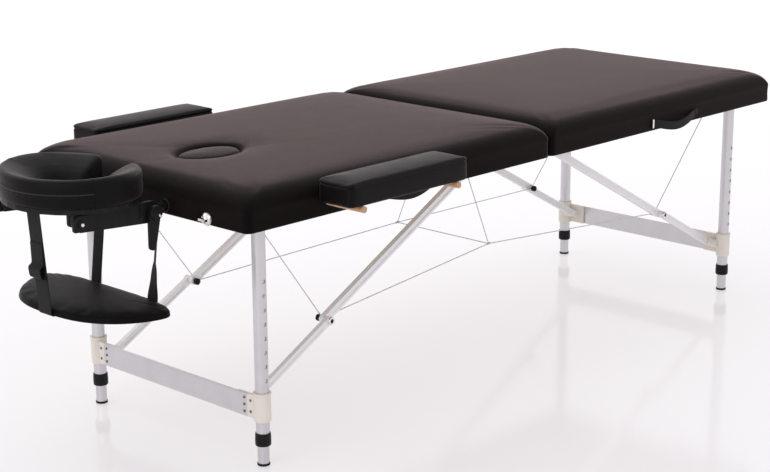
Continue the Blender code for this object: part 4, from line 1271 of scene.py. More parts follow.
@dataclass
class Armrest:
    """Padded armrest block on one side.

    A row of the foot is a ring's inset and its height above the underside.
    """

    side: str
    centre_x: float = -0.5725 + HINGE_X
    centre_y: float = 0.400
    half: tuple[float, float] = (0.175, 0.0485)
    low: float = 0.5548
    high: float = 0.6075
    corner: float = 0.013
    least_corner: float = 0.002
    edge: float = 0.007
    edge_start: float = 0.12
    crown: float = 0.0035
    core: float = 0.003
    bottom: tuple[float, float] = (0.024, 0.006)
    foot: Outline = ((0.0014, 0.0015), (0.0002, 0.006))
    wall: float = 0.0006
    wall_rise: float = 0.013
    seam_drop: float = 0.0095
    seam_depth: float = 0.0030
    seam_below: tuple[float, float] = (0.004, 0.0014)
    held_rise: float = 0.008
    held_seam: float = 0.0012
    ring: PlanRing = PlanRing(30, 6, 6)
    padding: Padding = Padding(0.003, (0.002, 0.0008, 0.0065), 0.85)

    def level(self, inset: float, z: float, corner: float) -> Array:
        """One ring of the block at a height."""
        centre = (self.centre_x, SIDES[self.side] * self.centre_y)
        return self.ring.level(centre, self.half, inset, max(corner, self.least_corner), z)

    def build(self) -> bpy.types.Object:
        """Make the block with a seam round its top panel.

        Returns:
            The block.
        """
        edge_z = self.high - self.crown
        core = self.half[1] - self.core
        seam = edge_z - self.seam_drop
        rings = [self.level(inset, self.low, self.corner - inset) for inset in (core, *self.bottom)]
        rings += [self.level(inset, self.low + up, self.corner) for inset, up in self.foot]
        under, lip = self.seam_below
        wall = [*np.linspace(self.low + self.wall_rise, seam - under, 3), seam - lip]
        rings += [self.level(self.wall, z, self.corner) for z in wall]
        rings.append(self.level(self.seam_depth, seam, self.corner))
        for angle in np.linspace(self.edge_start, QUARTER, 7):
            inset = self.edge * (1 - math.cos(angle))
            z = edge_z - self.edge + self.edge * math.sin(angle)
            rings.append(self.level(inset, z, self.corner - inset / 2))
        for share in (0.2, 0.5, 0.8, 1.0):
            inset = self.edge + share * (core - self.edge)
            z = edge_z + self.crown * (1 - (1 - share) ** 2)
            rings.append(self.level(inset, z, self.corner - inset))
        patch = skin(np.array(rings))
        body = f"{self.side}_armrest"
        piece = new_piece(f"{self.side}_armrest_cover", patch, CRADLE_LEATHER, body)
        z = places(piece)[:, 2]
        held = (z < self.low + self.held_rise) | (np.abs(z - seam) < self.held_seam)
        self.padding.dress(piece, f"{self.side}_armrest_pad", held)
        return piece


@dataclass
class FaceCushion:
    """Open ring of the face cradle's cushion, dished towards its hole.

    The section is in shares of half the limb's width, towards the hole, and of the height.
    Tape, lip and bead are widths and thicknesses, the stitch a pitch and a radius. A seam goes
    some of the section's points past the crown and past the zip.
    """

    front_x: float = -1.218 + HINGE_X
    rear_x: float = -0.948 + HINGE_X
    half_width: float = 0.155
    limb: float = 0.083
    low: float = 0.5763
    height: float = 0.0605
    dip: float = 0.004
    gap: float = math.radians(21)
    girth: float = 0.58
    end_round: float = 0.014
    tip_drop: float = 0.009
    tip_share: float = 0.26
    tip_scale: tuple[float, float] = (0.80, 0.86)
    held_rise: float = 0.005
    zip_up: float = 0.53
    zip_turn: float = 0.274
    zip_step: float = 0.004
    zip_tape: tuple[float, float] = (0.0046, 0.0012)
    zip_lip: tuple[float, float] = (0.0060, 0.0020)
    zip_lip_off: float = 0.0040
    seam_past: tuple[int, int] = (2, 9)
    bead: tuple[float, float] = (0.0020, 0.0011)
    stitch: tuple[float, float] = (0.0034, 0.0004)
    stitch_off: float = 0.0032
    section: Outline = (
        (0.90, 0.0), (0.96, 0.06), (0.95, 0.20), (0.86, 0.34), (0.68, 0.49), (0.35, 0.67),
        (-0.10, 0.84), (-0.48, 0.96), (-0.72, 1.0), (-0.88, 0.955), (-0.965, 0.86),
        (-0.99, 0.74), (-1.0, 0.64), (-0.99, 0.58), (-0.98, 0.53), (-0.99, 0.48),
        (-1.0, 0.36), (-0.985, 0.12), (-0.955, 0.03), (-0.90, 0.0),
        (-0.5, 0.0), (0.0, 0.0), (0.5, 0.0),
    )
    points: int = 72
    body: str = "cradle_head_rest"
    padding: Padding = Padding(0.004, (0.002, 0.002, 0.003), 0.8)

    def stations(self) -> tuple[Array, Array]:
        """Share of the way round for each ring, and how full the limb is there.

        The last end_round metres at each tip close in by a quarter circle.

        Returns:
            The shares, from the near tip to the far one, and the fullness from 0 to 1.
        """
        turn = np.linspace(0, QUARTER, 6)
        tip = self.end_round * (1 - np.cos(turn)) / self.girth
        middle = np.linspace(tip[-1], 1 - tip[-1], 49)[1:-1]
        full = np.concatenate([np.sin(turn), np.ones(len(middle)), np.sin(turn)[::-1]])
        return np.concatenate([tip, middle, 1 - tip[::-1]]), full

    def form(self) -> Array:
        """The section set across an ellipse, (a cos t, b sin t).

        Returns:
            Its rings, from the near tip round the front to the far tip.
        """
        share, full = self.stations()
        angle = -self.gap - share * (TAU - 2 * self.gap)
        spoke = np.stack([np.cos(angle), np.sin(angle)], -1)
        size = (self.rear_x - self.front_x - self.limb, 2 * self.half_width - self.limb)
        half = np.array(size) / 2
        normal = unit(-spoke * half[::-1])
        plan = np.array(((self.front_x + self.rear_x) / 2, 0.0)) + half * spoke
        shape = outline(self.section, self.points)
        near_tip = np.clip(1 - np.minimum(share, 1 - share) / self.tip_share, 0, 1)
        drop = self.tip_drop * near_tip**2 * (3 - 2 * near_tip)
        tall = self.height - self.dip * np.sin(math.pi * share) ** 2 - drop
        slim, flat = self.tip_scale
        wide = (slim + (1 - slim) * full)[:, None, None] * shape[None, :, :1] * self.limb / 2
        up = (flat + (1 - flat) * full)[:, None] * shape[None, :, 1] * tall[:, None]
        rings = plan[:, None] + normal[:, None] * wide
        return np.concatenate([rings, self.low + up[..., None]], -1)

    def build(self) -> bpy.types.Object:
        """Make the cushion, fill it and sew the zip and the seams on.

        Returns:
            The cushion.
        """
        grid = self.form()
        piece = new_piece("face_cushion", skin(grid), CRADLE_LEATHER, self.body, crease=80)
        held = places(piece)[:, 2] < self.low + self.held_rise
        self.padding.dress(piece, "cradle_cushion", held)
        self.sew(places(piece).reshape(grid.shape))
        return piece

    def sew(self, grid: Array) -> None:
        """Add the zip round the front and a seam at each of its ends.

        Args:
            grid: the filled cushion's points, ring by ring.
        """
        shape = outline(self.section, self.points)
        wall = int(np.argmin(np.abs(shape[:, 1] - self.zip_up) + (shape[:, 0] > -0.9)))
        first = int(np.argmin(np.abs(self.stations()[0] - self.zip_turn)))
        last = len(grid) - 1 - first
        line = spaced(grid[first : last + 1, wall], self.zip_step)
        tape = sweep(line, capsule(*self.zip_tape, 6), UP)
        new_piece("cushion_zip", tape, ZIP_TEETH, self.body)
        lip = capsule(*self.zip_lip, 6)
        lips = [sweep(line + way * self.zip_lip_off * UP, lip, UP) for way in (-1, 1)]
        new_piece("cushion_zip_lips", joined(*lips), CRADLE_LEATHER, self.body)
        over, under = self.seam_past
        for side, ring in (("near", first), ("far", last)):
            top = int(np.argmax(grid[ring, :, 2]))
            span = grid[ring, top - over : wall + under]
            heading = unit(grid[ring + 1, wall] - grid[ring - 1, wall])
            bead = sweep(span, capsule(*self.bead, 6), heading)
            new_piece(f"{side}_cushion_seam", bead, CRADLE_LEATHER, self.body)
            shifts = [way * self.stitch_off * heading for way in (-1, 1)]
            rows = [stitches(span + shift, *self.stitch) for shift in shifts]
            new_piece(f"{side}_cushion_stitches", joined(*rows), BLACK_WEBBING, self.body)


@dataclass
class ArmShelf:
    """Half-moon padded shelf with the straps that carry it.

    A row of the foot is a ring's inset and its height above the underside, one of the shoulder
    its inset and its drop from the top. The cross strap has an inset, a reach to each side and
    a drop, the tail's rows are how far it stands out and its height from the slide. The slide's
    wire is a width and a thickness, its bar half a length and a radius.
    """

    centre_x: float = -1.021 + HINGE_X
    half_width: float = 0.202
    front: float = 0.137
    back: float = 0.046
    front_shape: tuple[float, float] = (2.7, 0.6)
    back_shape: tuple[float, float] = (3.3, 0.38)
    middle: float = 0.045
    low: float = 0.343
    high: float = 0.361
    bottom: float = 0.004
    edge: float = 0.0085
    edge_drop: float = 0.002
    edge_start: float = 0.12
    foot: Outline = ((0.0008, 0.001), (0.0, 0.003), (0.0016, 0.0055))
    shoulder: Outline = ((0.018, 0.0012), (0.030, 0.0006))
    held_rise: float = 0.006
    strap: float = 0.042
    back_strap: float = 0.032
    back_y: tuple[float, float] = (-0.1045, 0.080)
    strap_thickness: float = 0.0018
    strap_gap: float = 0.0014
    under_gap: float = 0.0013
    bend: float = 0.008
    step: float = 0.006
    front_end: float = 0.010
    back_end: float = 0.050
    front_lean: float = 0.015
    front_top: float = 0.5585
    back_top: tuple[float, float] = (0.024, 0.5295)
    cross: Point = (0.022, 0.105, 0.002)
    twist: float = math.radians(35)
    wobble: float = math.radians(9)
    twist_z: tuple[float, float] = (0.354, 0.075)
    slide_z: float = 0.432
    slide_half: tuple[float, float] = (0.0245, 0.0085)
    slide_corner: float = 0.003
    slide_wire: tuple[float, float] = (0.0036, 0.0026)
    slide_bar: tuple[float, float] = (0.023, 0.0018)
    slide_off: float = 0.0030
    slide_drop: float = 0.004
    tail_width: float = 0.039
    tail_bend: float = 0.005
    tail_step: float = 0.003
    tail: Outline = (
        (0.0012, -0.014), (0.0120, -0.010), (0.0135, 0.011), (0.0034, 0.016),
        (0.0012, 0.060),
    )
    clamp: tuple[float, float] = (0.060, 0.010)
    clamp_z: tuple[float, float] = (0.5655, 0.5555)
    sides: int = 144
    padding: Padding = Padding(0.004, (0.002, 0.002, 0.004), 0.7)

    def ring(self, inset: float, z: float, scale: float = 1.0) -> Array:
        """Half-moon outline x = centre - depth * (1 - |u|^a)^b, shrunk about its middle.

        Args:
            inset: how far it is drawn in.
            z: its height.
            scale: share of its size that is kept.

        Returns:
            The ring's points.
        """
        angle = np.linspace(0, TAU, self.sides, endpoint=False)
        u, v = np.cos(angle), np.sin(angle)
        side = np.clip(np.abs(u), 0, 1)
        ahead = (self.front - inset) * (1 - side ** self.front_shape[0]) ** self.front_shape[1]
        behind = (self.back - inset) * (1 - side ** self.back_shape[0]) ** self.back_shape[1]
        reach = np.where(v >= 0, -ahead, behind)
        plan = np.stack([self.centre_x + reach, (self.half_width - inset) * u], -1)
        middle = np.array((self.centre_x - self.middle, 0.0))
        return flat_ring(middle + (plan - middle) * scale, z)

    def build(self) -> bpy.types.Object:
        """Make the padded shelf and its straps.

        Returns:
            The shelf's cover.
        """
        rings = [self.ring(self.bottom, self.low, scale) for scale in (0.06, 0.4, 0.75, 1.0)]
        rings += [self.ring(inset, self.low + up) for inset, up in self.foot]
        start = self.high - self.edge_drop - self.edge
        for angle in np.linspace(self.edge_start, QUARTER, 7):
            inset = self.edge * (1 - math.cos(angle))
            rings.append(self.ring(inset, start + self.edge * math.sin(angle)))
        rings += [self.ring(inset, self.high - drop) for inset, drop in self.shoulder]
        inset = self.shoulder[-1][0]
        rings += [self.ring(inset, self.high, scale) for scale in (0.75, 0.45, 0.2, 0.05)]
        piece = new_piece("arm_shelf_cover", skin(np.array(rings)), SHELF_LEATHER, "arm_shelf")
        self.padding.dress(piece, "arm_shelf", places(piece)[:, 2] < self.low + self.held_rise)
        self.straps()
        return piece

    def straps(self) -> None:
        """Front strap that runs under the shelf, its slide, the cross and the two back straps."""
        front_x = self.centre_x - self.front - self.strap_gap
        back_x = self.centre_x + self.back + self.strap_gap
        under = self.low - self.under_gap
        top_x = front_x - self.front_lean
        corners = [(top_x, 0, self.front_top), (front_x, 0, self.high)]
        corners += [(front_x, 0, under), (back_x - self.front_end, 0, under)]
        section = capsule(self.strap, self.strap_thickness)
        front = sweep(bent(corners, self.bend, self.step), section, ACROSS)
        self.hang("shelf_front_strap", front)
        self.slide(front_x, top_x)
        band = capsule(self.back_strap, self.strap_thickness)
        inset, reach, drop = self.cross
        ends = np.array([(back_x - inset, y, under - drop) for y in (-reach, reach)])
        cross = sweep(spaced(ends, self.step), band, ALONG)
        new_piece("shelf_cross_strap", cross, BLACK_WEBBING, "arm_shelf")
        lean, top = self.back_top
        for side, y in zip(SIDES, self.back_y):
            corners = [(back_x + lean, y, top), (back_x, y, under)]
            corners.append((back_x - self.back_end, y, under))
            path = bent(corners, self.bend, self.step)
            up = np.clip((path[:, 2] - self.twist_z[0]) / self.twist_z[1], 0, 1)
            turn = self.twist * up * up * (3 - 2 * up) + self.wobble * np.sin(TAU * up) * up
            turn *= side == "near"
            width = np.stack([np.sin(turn), np.cos(turn), np.zeros_like(turn)], -1)
            self.hang(f"{side}_back_strap", sweep(path, band, width))

    def slide(self, front_x: float, top_x: float) -> None:
        """Slide buckle on the front strap, the strap's folded end over it, and its clamp.

        Args:
            front_x: where the strap meets the shelf.
            top_x: where it hangs.
        """
        out, rise = np.array(self.tail).T
        z = self.slide_z + rise
        share = (z - self.high) / (self.front_top - self.high)
        line = front_x + (top_x - front_x) * share - self.strap_thickness / 2 - out
        corners = np.stack([line, np.zeros(len(z)), z], -1)
        loop = bent(corners, self.tail_bend, self.tail_step)
        tail = sweep(loop, capsule(self.tail_width, self.strap_thickness), ACROSS)
        self.hang("shelf_strap_tail", tail)
        ring = PlanRing(8, 4, 4).points(self.slide_half, self.slide_corner)
        face, bar_z = line[0] - self.slide_off, self.slide_z - self.slide_drop
        path = np.stack([np.full(len(ring), face), ring[:, 0], bar_z + ring[:, 1]], -1)
        frame = sweep(path, capsule(*self.slide_wire, 6), ALONG, loop=True)
        reach, radius = self.slide_bar
        bar = np.stack([np.full(9, face), np.linspace(-reach, reach, 9), np.full(9, bar_z)], -1)
        buckle = joined(frame, round_skin(bar, radius))
        self.hang("shelf_strap_slide", buckle, BLACK_PLASTIC)
        plate = np.stack([np.full(6, top_x), np.zeros(6), np.linspace(*self.clamp_z, 6)], -1)
        clamp = sweep(plate, capsule(*self.clamp), ACROSS)
        new_piece("shelf_strap_clamp", clamp, BLACK_PLASTIC, "cradle_head_rest")

    def hang(
        self, name: str, patch: Patch, finish: Finish = BLACK_WEBBING
    ) -> None:
        """Put a piece between the cradle's arms and the shelf, riding on no body, and hide the CAD
        straps.

        Args:
            name: the piece's name.
            patch: its surface.
            finish: what it is made of.
        """
        strap = new_piece(name, patch, finish)
        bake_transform(strap)
        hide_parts("shelf_straps")


@dataclass
class Cables:
    """Steel cables that tie the leg braces together."""

    radius: float = 0.0012
    knee_y: float = 0.2065
    crimp: Point = (0.019 + HINGE_X, 0.150, 0.277)
    drop_top: Point = (0.019 + HINGE_X, 0.045, 0.5196)
    leg_top: tuple[float, float] = (0.024, 0.5325)
    step: float = 0.005
    points: int = 24
    sleeve: Outline = ((0.0013, -0.006), (0.0021, -0.006), (0.0026, -0.0045))

    def run(self, name: str, body: str, start: Point, end: Point, node: str) -> None:
        """One straight cable.

        Args:
            name: the piece's name.
            body: body that it rides on.
            start: where it leaves the table.
            end: where it is tied.
            node: CAD node that it stands for.
        """
        share = np.linspace(0, 1, self.points)[:, None]
        path = np.array(start) * (1 - share) + np.array(end) * share
        piece = new_piece(name, round_skin(path, self.radius), STEEL_STRAND, body)
        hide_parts(node)
        self.fold(piece)
        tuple(start)

    def fold(self, piece: bpy.types.Object) -> None:
        """Give a cable piece its own copy of its mesh."""
        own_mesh(piece)

    def build(self) -> None:
        """Make the leg cables and the net between the knees, with its two crimps."""
        sleeve = [*self.sleeve, *facing(self.sleeve[::-1], -1)]
        ties = []
        for side, sign in SIDES.items():
            crimp = (self.crimp[0], sign * self.crimp[1], self.crimp[2])
            ties.append(crimp)
            y = sign * self.knee_y
            for end, leg_x, knee_x in zip(ENDS, LEG_X, KNEE_X):
                name = f"{side}_{end}_leg_cable"
                half = f"{end}_half"
                top = (leg_x + self.leg_top[0], y, self.leg_top[1])
                self.run(f"{name}_wire", half, top, (knee_x, y, KNEE_Z + self.step), name)
                start = (knee_x - ENDS[end] * self.step, y, KNEE_Z)
                self.run(f"{side}_{end}_side_cable", half, start, crimp, "cable_net")
            top = (self.drop_top[0], sign * self.drop_top[1], self.drop_top[2])
            self.run(f"{side}_drop_cable", "foot_half", top, crimp, "cable_net")
            ferrule = turned(sleeve, crimp, Axis.X, 16)
            self.fold(new_piece(f"{side}_cable_crimp", ferrule, ZINC_STEEL, "foot_half"))
        self.run("cross_cable", "foot_half", *ties, "cable_net")


@dataclass
class Handle:
    """Webbing carrying handle on the near side of one half."""

    end: str
    offset: float = 0.484
    length: float = 0.184
    width: float = 0.020
    thickness: float = 0.003
    bow: float = 0.013
    sag: float = 0.014
    tab: float = 0.007
    face_y: float = -0.3503
    end_z: float = 0.5397
    clamp_room: tuple[float, float] = (0.002, 0.001)
    clamp_off: float = 0.0004
    clamp_step: float = 0.0015
    button_off: float = 0.004
    button: Outline = (
        (0.003, 0.001), (0.0085, 0.001), (0.0085, -0.0016),
        (0.0072, -0.0030), (0.0030, -0.0034),
    )

    def path(self) -> Array:
        """Middle line: flat on the cover at its ends, bowed out by sin^0.7 and down by sin^1.3.

        Returns:
            Its points.
        """
        way = np.linspace(-0.5, 0.5, 61) * self.length
        reach = self.length / 2 - self.tab
        share = np.clip((self.length / 2 - np.abs(way) - self.tab) / reach, 0, 1)
        wave = np.sin(QUARTER * share)
        y = self.face_y - self.bow * wave**0.7 - self.thickness / 2
        x = HINGE_X + ENDS[self.end] * self.offset + way
        return np.stack([x, y, self.end_z - self.sag * wave**1.3], -1)

    def build(self) -> bpy.types.Object:
        """Make the strap, the clamp at one end and the button at the other.

        Returns:
            The strap.
        """
        body = f"{self.end}_half"
        line = self.path()
        strap = sweep(line, capsule(self.width, self.thickness), UP)
        piece = new_piece(f"{self.end}_handle_strap", strap, BLACK_WEBBING, body)
        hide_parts(f"{self.end}_handle")
        clip = spaced(line[:3] - (0.0, self.clamp_off, 0.0), self.clamp_step)
        wider, thicker = self.clamp_room
        clamp = sweep(clip, capsule(self.width + wider, self.thickness + thicker), UP)
        new_piece(f"{self.end}_handle_clamp", clamp, NICKEL, body)
        place = (line[-1, 0] + self.button_off, self.face_y, self.end_z + self.button_off)
        button = turned(self.button, place, Axis.Y, 24)
        new_piece(f"{self.end}_handle_button", button, BLACK_PLASTIC, body)
        return piece


@dataclass
class Fittings:
    """Small hardware: collars, knee pins, caps, screws, grommets, rosettes and arm cheeks.

    A profile's rows are a radius and a height along the axis that it is turned about, a screw's
    head is a radius and a height, and the dome is the angle of its arc. A row of the cheek's
    rings is a distance from the middle of the table and an inset.
    """

    leg_y: float = 0.270
    peg_y: float = 0.105
    peg_z: float = 0.541
    cradle_x: float = -0.982 + HINGE_X
    hub_y: float = 0.1385
    hub_screw: Point = (0.006, 0.1437, -0.006)
    hub_head: tuple[float, float] = (0.0030, 0.0016)
    tilt: Point = (-1.1555 + HINGE_X, 0.1325, 0.548)
    tilt_head: tuple[float, float] = (0.0038, 0.0024)
    latch_y: float = 0.231
    latch_z: float = 0.534
    beam_face: float = 0.0115
    beam_head: tuple[float, float] = (0.0030, 0.0014)
    dome: float = 1.2
    beam_spots: Outline = (
        (0.247, 0.113), (0.247, 0.137), (0.228, 0.110), (0.228, 0.125),
        (0.228, 0.140),
    )
    collar: Outline = (
        (0.0138, 0.0438), (0.0156, 0.0438), (0.0166, 0.0452), (0.0168, 0.0560),
        (0.0163, 0.0690), (0.0157, 0.0710), (0.0138, 0.0710),
    )
    knee_pin: Outline = (
        (0.003, 0.2030), (0.0062, 0.2030), (0.0062, 0.2362), (0.0084, 0.2366),
        (0.0086, 0.2384), (0.0078, 0.2396), (0.0048, 0.2398), (0.0044, 0.2388),
        (0.0010, 0.2388),
    )
    knee_cap: Outline = (
        (0.0020, 0.2045), (0.0074, 0.2045), (0.0078, 0.2010), (0.0074, 0.1962),
        (0.0056, 0.1946), (0.0012, 0.1944),
    )
    knee_socket: Outline = ((0.0012, 0.2380), (0.0043, 0.2380), (0.0043, 0.2391), (0.0012, 0.2391))
    grommet: Outline = (
        (0.0092, 0.001), (0.0092, -0.0022), (0.0108, -0.0032), (0.0128, -0.0028),
        (0.0140, -0.0012), (0.0140, 0.001),
    )
    rosette: Outline = (
        (0.004, 0.001), (0.0135, 0.001), (0.0135, -0.0008), (0.0120, -0.0016),
        (0.0040, -0.0016),
    )
    hub: Outline = (
        (0.004, -0.002), (0.0150, -0.002), (0.0152, 0.0030), (0.0140, 0.0046),
        (0.0100, 0.0052), (0.0016, 0.0052),
    )
    cheek_x: tuple[float, float] = (-1.172 + HINGE_X, -1.010 + HINGE_X)
    cheek_z: tuple[float, float] = (0.533, 0.5645)
    cheek_half: tuple[float, float] = (0.081, 0.016)
    cheek_nose: float = 0.0165
    cheek_corner: tuple[float, float] = (0.004, 0.0012)
    cheek_rings: Outline = ((0.1202, 0.0012), (0.1212, 0.0), (0.1274, 0.0), (0.1283, 0.0010))

    def button(self, radius: float, height: float, way: int) -> list[tuple[float, float]]:
        """Profile of a low domed screw head.

        Args:
            radius: its radius.
            height: its height.
            way: 1 or -1, the direction that it stands out in.

        Returns:
            The profile, from a millimetre below the surface to the top of the dome.
        """
        arc = np.linspace(0, self.dome, 5)
        rise = 0.45 + 0.55 * np.sin(arc) / math.sin(self.dome)
        dome = np.stack([radius * (0.68 + 0.32 * np.cos(arc)), height * rise], -1)
        foot = [(radius * 0.5, -0.001), (radius, -0.001), (radius, height * 0.3)]
        return facing((*foot, *dome, (radius * 0.2, height)), way)

    def build(self) -> None:
        """Make all of them."""
        self.collars()
        self.knees()
        self.cradle()
        self.cheeks()
        self.screws()

    def collars(self) -> None:
        """Black collar at the foot of each outer leg tube."""
        for end, x in zip(ENDS, LEG_X):
            for side, sign in SIDES.items():
                collar = turned(self.collar, (x, sign * self.leg_y, 0.0), loop=True)
                new_piece(f"{side}_{end}_collar", collar, BLACK_PLASTIC, f"{end}_legs")

    def knees(self) -> None:
        """Nickel pin through each brace's knee, a black cap inside and a dark socket outside."""
        profiles = (self.knee_pin, self.knee_cap, self.knee_socket)
        for end, x in zip(ENDS, KNEE_X):
            for side, sign in SIDES.items():
                place = (x, 0.0, KNEE_Z)
                pin, *caps = (turned(facing(shape, sign), place, Axis.Y) for shape in profiles)
                body = f"{end}_lower_braces"
                new_piece(f"{side}_{end}_knee_pin", pin, NICKEL, body)
                new_piece(f"{side}_{end}_knee_cap", joined(*caps), BLACK_PLASTIC, body)

    def cradle(self) -> None:
        """Peg grommets, hub caps and pivot screws of the face cradle, the latches' rosettes."""
        for side, sign in SIDES.items():
            place = (HEAD_END_X, sign * self.peg_y, self.peg_z)
            eye = turned(self.grommet, place, Axis.X, 40, loop=True)
            new_piece(f"{side}_peg_grommet", eye, BLACK_PLASTIC, "head_half")
            rose = turned(self.rosette, (HEAD_END_X, sign * self.latch_y, self.latch_z), Axis.X)
            new_piece(f"{side}_latch_rosette", rose, NICKEL, "head_half")
            place = (self.cradle_x, sign * self.hub_y, self.peg_z)
            cap = turned(facing(self.hub, sign), place, Axis.Y, 40)
            new_piece(f"{side}_hub_cap", cap, BLACK_PLASTIC, f"{side}_cam_lever")
            x, y, z = self.hub_screw
            place = (self.cradle_x + x, sign * y, self.peg_z + z)
            screw = turned(self.button(*self.hub_head, sign), place, Axis.Y, 20)
            new_piece(f"{side}_hub_screw", screw, NICKEL, f"{side}_cam_lever")
            x, y, z = self.tilt
            pin = turned(self.button(*self.tilt_head, sign), (x, sign * y, z), Axis.Y, 24)
            new_piece(f"{side}_tilt_screw", pin, NICKEL, "cradle_head_rest")

    def cheeks(self) -> None:
        """Square-cornered cheek on each arm of the cradle, from its front end to the hub."""
        (front, rear), (low, high), nose = self.cheek_x, self.cheek_z, self.cheek_nose
        round_off = [
            (front + nose * (1 - math.sin(angle)), high - nose * (1 - math.cos(angle)))
            for angle in np.linspace(0, QUARTER, 7)
        ]
        cut, set_in = self.cheek_corner
        corner = [(front, low + cut), (front + set_in, low + set_in), (front + cut, low)]
        edge = [(rear, (low + high) / 2), (rear, high), *round_off, *corner, (rear, low)]
        plan = outline(edge, 80)
        middle = plan.mean(0)
        for side, sign in SIDES.items():
            rings = []
            for y, inset in self.cheek_rings:
                shrunk = middle + (plan - middle) * (1 - inset / np.array(self.cheek_half))
                rings.append(np.insert(shrunk, 1, sign * y, axis=1))
            new_piece(f"{side}_arm_cheek", skin(np.array(rings)), BLACK_PLASTIC, "cradle_arms")

    def screws(self) -> None:
        """Screws of the cross beams and of their brackets' flanges."""
        for end, x in zip(ENDS, LEG_X):
            out = ENDS[end]
            shape = self.button(*self.beam_head, out)
            heads = [
                turned(shape, (x + out * self.beam_face, sign * y, z), Axis.X, 16)
                for sign in SIDES.values()
                for y, z in self.beam_spots
            ]
            new_piece(f"{end}_beam_screws", joined(*heads), DARK_STEEL, f"{end}_legs")


class Frame:
    """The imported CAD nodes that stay, with their finishes and softened edges."""

    FINISHES: dict[str, Finish] = {
        "leg_tube": LEG_ALUMINIUM,
        "inner_leg": LEG_ALUMINIUM,
        "leg_tip": BLACK_PLASTIC,
        "snap_button": ZINC_STEEL,
        "bracket": CREAM_PLASTIC,
        "upper_brace": BAR_ALUMINIUM,
        "lower_brace": BAR_ALUMINIUM,
        "cross_beam": BEAM_ALUMINIUM,
        "frame": BAR_ALUMINIUM,
        "deck": BIRCH_PLY,
        "hinge_leaf": ZINC_STEEL,
        "latch": NICKEL,
        "cradle_peg_bar": BLACK_PLASTIC,
        "cradle_arms": BLACK_PLASTIC,
        "cradle_platform": BLACK_PLASTIC,
        "cam_lever": BLACK_PLASTIC,
        "armrest_dowels": BEECH,
    }
    BEVELS: dict[str, float] = {
        "cross_beam": 0.0006,
        "cradle_arms": 0.0014,
        "cradle_platform": 0.0016,
        "cam_lever": 0.0020,
    }

    def __init__(self, nodes: dict[str, bpy.types.Object]) -> None:
        """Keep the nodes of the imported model."""
        self.nodes = nodes

    def build(self) -> None:
        """Dress every node that a finish is listed for."""
        for name, node in self.nodes.items():
            for ending, finish in self.FINISHES.items():
                if name.endswith(ending):
                    node.data.materials.clear()
                    node.data.materials.append(finish.material())
                    LOG.info("node %s: %s", name, finish.name)
            for ending, width in self.BEVELS.items():
                if name.endswith(ending):
                    self.ease(node, width)

    def ease(self, node: bpy.types.Object, width: float) -> None:
        """Round a node's edges with live modifiers.

        Args:
            node: the CAD node's object.
            width: width of the rounding.
        """
        weld = node.modifiers.new("weld", "WELD")
        weld.merge_threshold = 0.00002
        flat = node.modifiers.new("flat", "DECIMATE")
        flat.decimate_type = "DISSOLVE"
        flat.angle_limit = math.radians(2)
        bevel = node.modifiers.new("edges", "BEVEL")
        bevel.width = width
        bevel.segments = 2
        bevel.limit_method = "ANGLE"
        bevel.angle_limit = math.radians(40)
        bevel.harden_normals = True


def stand(thing: bpy.types.Object, axes: Array, place: Point) -> None:
    """Put a camera or lamp into the scene.

    Args:
        thing: the object.
        axes: its three axes as columns.
        place: where it stands.
    """
    turn = np.eye(4)
    turn[:3, :3] = axes
    turn[:3, 3] = place
    thing.matrix_world = Matrix(turn.tolist())
    bpy.context.scene.collection.objects.link(thing)


@dataclass(frozen=True)
class Lamp:
    """Square soft light that looks at a point, with its side in metres and its power in watts."""

    name: str
    place: Point
    aim: Point
    size: float
    power: float

    def build(self) -> None:
        """Hang the lamp."""
        light = bpy.data.lights.new(self.name, "AREA")
        light.size = self.size
        light.energy = self.power
        ahead = unit(np.array(self.aim) - np.array(self.place))
        side = unit(np.cross(ahead, ACROSS if abs(ahead[2]) > 0.9 else UP))
        axes = np.stack([side, np.cross(side, ahead), -ahead], 1)
        stand(bpy.data.objects.new(self.name, light), axes, self.place)


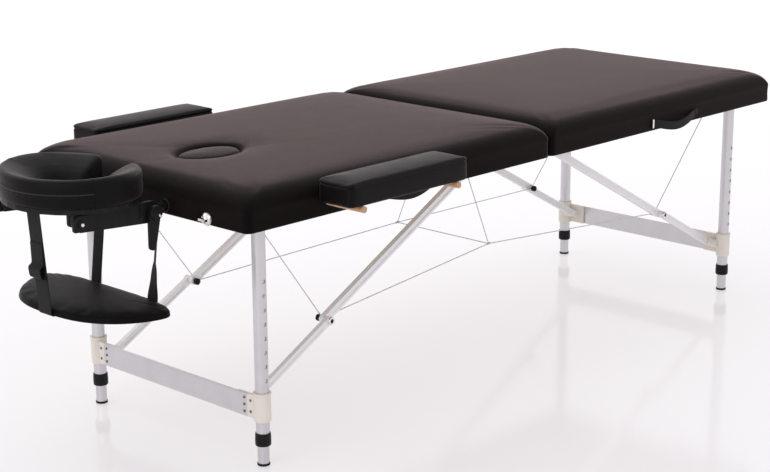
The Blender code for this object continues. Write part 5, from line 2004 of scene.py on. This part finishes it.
@dataclass(frozen=True)
class Studio:
    """Camera, lights and floor."""

    place: Point = (-3.1043 + HINGE_X, -2.7873, 1.3969)
    yaw: float = 46.34
    pitch: float = 15.083
    roll: float = 0.362
    focal_px: float = 1762.23
    width_px: float = 770.0
    sensor: float = 36.0
    floor_tint: Colour = (0.36, 0.35, 0.36)
    floor_glow: Colour = (1.0, 0.975, 0.995)
    floor_reach: float = 14.0
    backdrop: Colour = (0.985, 0.975, 0.99)
    ambient: float = 0.85
    lamps: tuple[Lamp, ...] = (
        Lamp("key", (-0.5, 1.5, 4.2), (-0.1, 0.0, 0.3), 4.0, 47.0),
        Lamp("fill", (-3.6, -0.6, 1.8), (0.0, 0.0, 0.5), 1.8, 18.0),
    )

    def camera(self) -> None:
        """Camera at the photograph's angle, from its yaw, pitch and roll."""
        yaw, pitch, roll = (math.radians(angle) for angle in (self.yaw, self.pitch, self.roll))
        flat = math.cos(pitch)
        ahead = np.array((math.sin(yaw) * flat, math.cos(yaw) * flat, -math.sin(pitch)))
        level = np.array((math.cos(yaw), -math.sin(yaw), 0.0))
        down = np.cross(ahead, level)
        right = math.cos(roll) * level + math.sin(roll) * down
        low = -math.sin(roll) * level + math.cos(roll) * down
        lens = bpy.data.cameras.new("photo_camera")
        lens.sensor_width = self.sensor
        lens.lens = self.focal_px / self.width_px * self.sensor
        lens.clip_end = 100.0
        camera = bpy.data.objects.new("photo_camera", lens)
        stand(camera, np.stack([right, -low, -ahead], 1), self.place)
        bpy.context.scene.camera = camera

    def world(self) -> None:
        """White surroundings for the eye and for reflections, a lower level for their light."""
        graph = Graph(bpy.data.worlds.new("studio"))
        bpy.context.scene.world = graph.owner
        eye, gloss, glass = (
            graph.node("ShaderNodeLightPath", None, None, f"Is {kind} Ray")
            for kind in ("Camera", "Glossy", "Transmission")
        )
        seen = eye.math("MAXIMUM", gloss).math("MAXIMUM", glass)
        levels = {"Value": seen, "To Min": self.ambient, "To Max": 1.0}
        strength = graph.node("ShaderNodeMapRange", None, levels)
        inputs = {"Color": rgba(self.backdrop), "Strength": strength}
        shader = graph.node("ShaderNodeBackground", None, inputs)
        graph.close(shader, "ShaderNodeOutputWorld")

    def floor(self) -> None:
        """Pale polished floor."""
        graph = Graph(bpy.data.materials.new("pale_floor"))
        slow = graph.noise(graph.coords(Space.OBJECT), 0.6, 2.0)
        colour = graph.mix(darker(self.floor_tint, 0.02), lighter(self.floor_tint, 0.02), slow)
        graph.surface(
            Base_Color=colour,
            Roughness=0.09 + 0.03 * slow,
            Specular_IOR_Level=0.30,
            Emission_Color=rgba(self.floor_glow),
            Emission_Strength=0.50,
        )
        corners = np.array([(-1, -1, 0), (1, -1, 0), (1, 1, 0), (-1, 1, 0)]) * self.floor_reach
        mesh = bpy.data.meshes.new("floor")
        mesh.from_pydata(corners.tolist(), [], [[0, 1, 2, 3]])
        mesh.materials.append(graph.owner)
        floor = bpy.data.objects.new("floor", mesh)
        bpy.context.scene.collection.objects.link(floor)

    def build(self) -> None:
        """Set up camera, surroundings, lamps and floor."""
        bpy.context.scene.view_settings.view_transform = "Standard"
        self.camera()
        self.world()
        self.floor()
        for lamp in self.lamps:
            lamp.build()


def main() -> None:
    """Build every sub-assembly round the frame."""
    logging.basicConfig(level=logging.INFO, format="%(message)s")
    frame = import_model()
    Studio().build()
    Cables().build()
    for end in ENDS:
        TopHalf(end).build()
    FacePlug().build()
    for side in SIDES:
        Armrest(side).build()
    FaceCushion().build()
    ArmShelf().build()
    for end in ENDS:
        Handle(end).build()
    Fittings().build()
    Frame(frame["nodes"]).build()


if __name__ == "__main__":
    main()
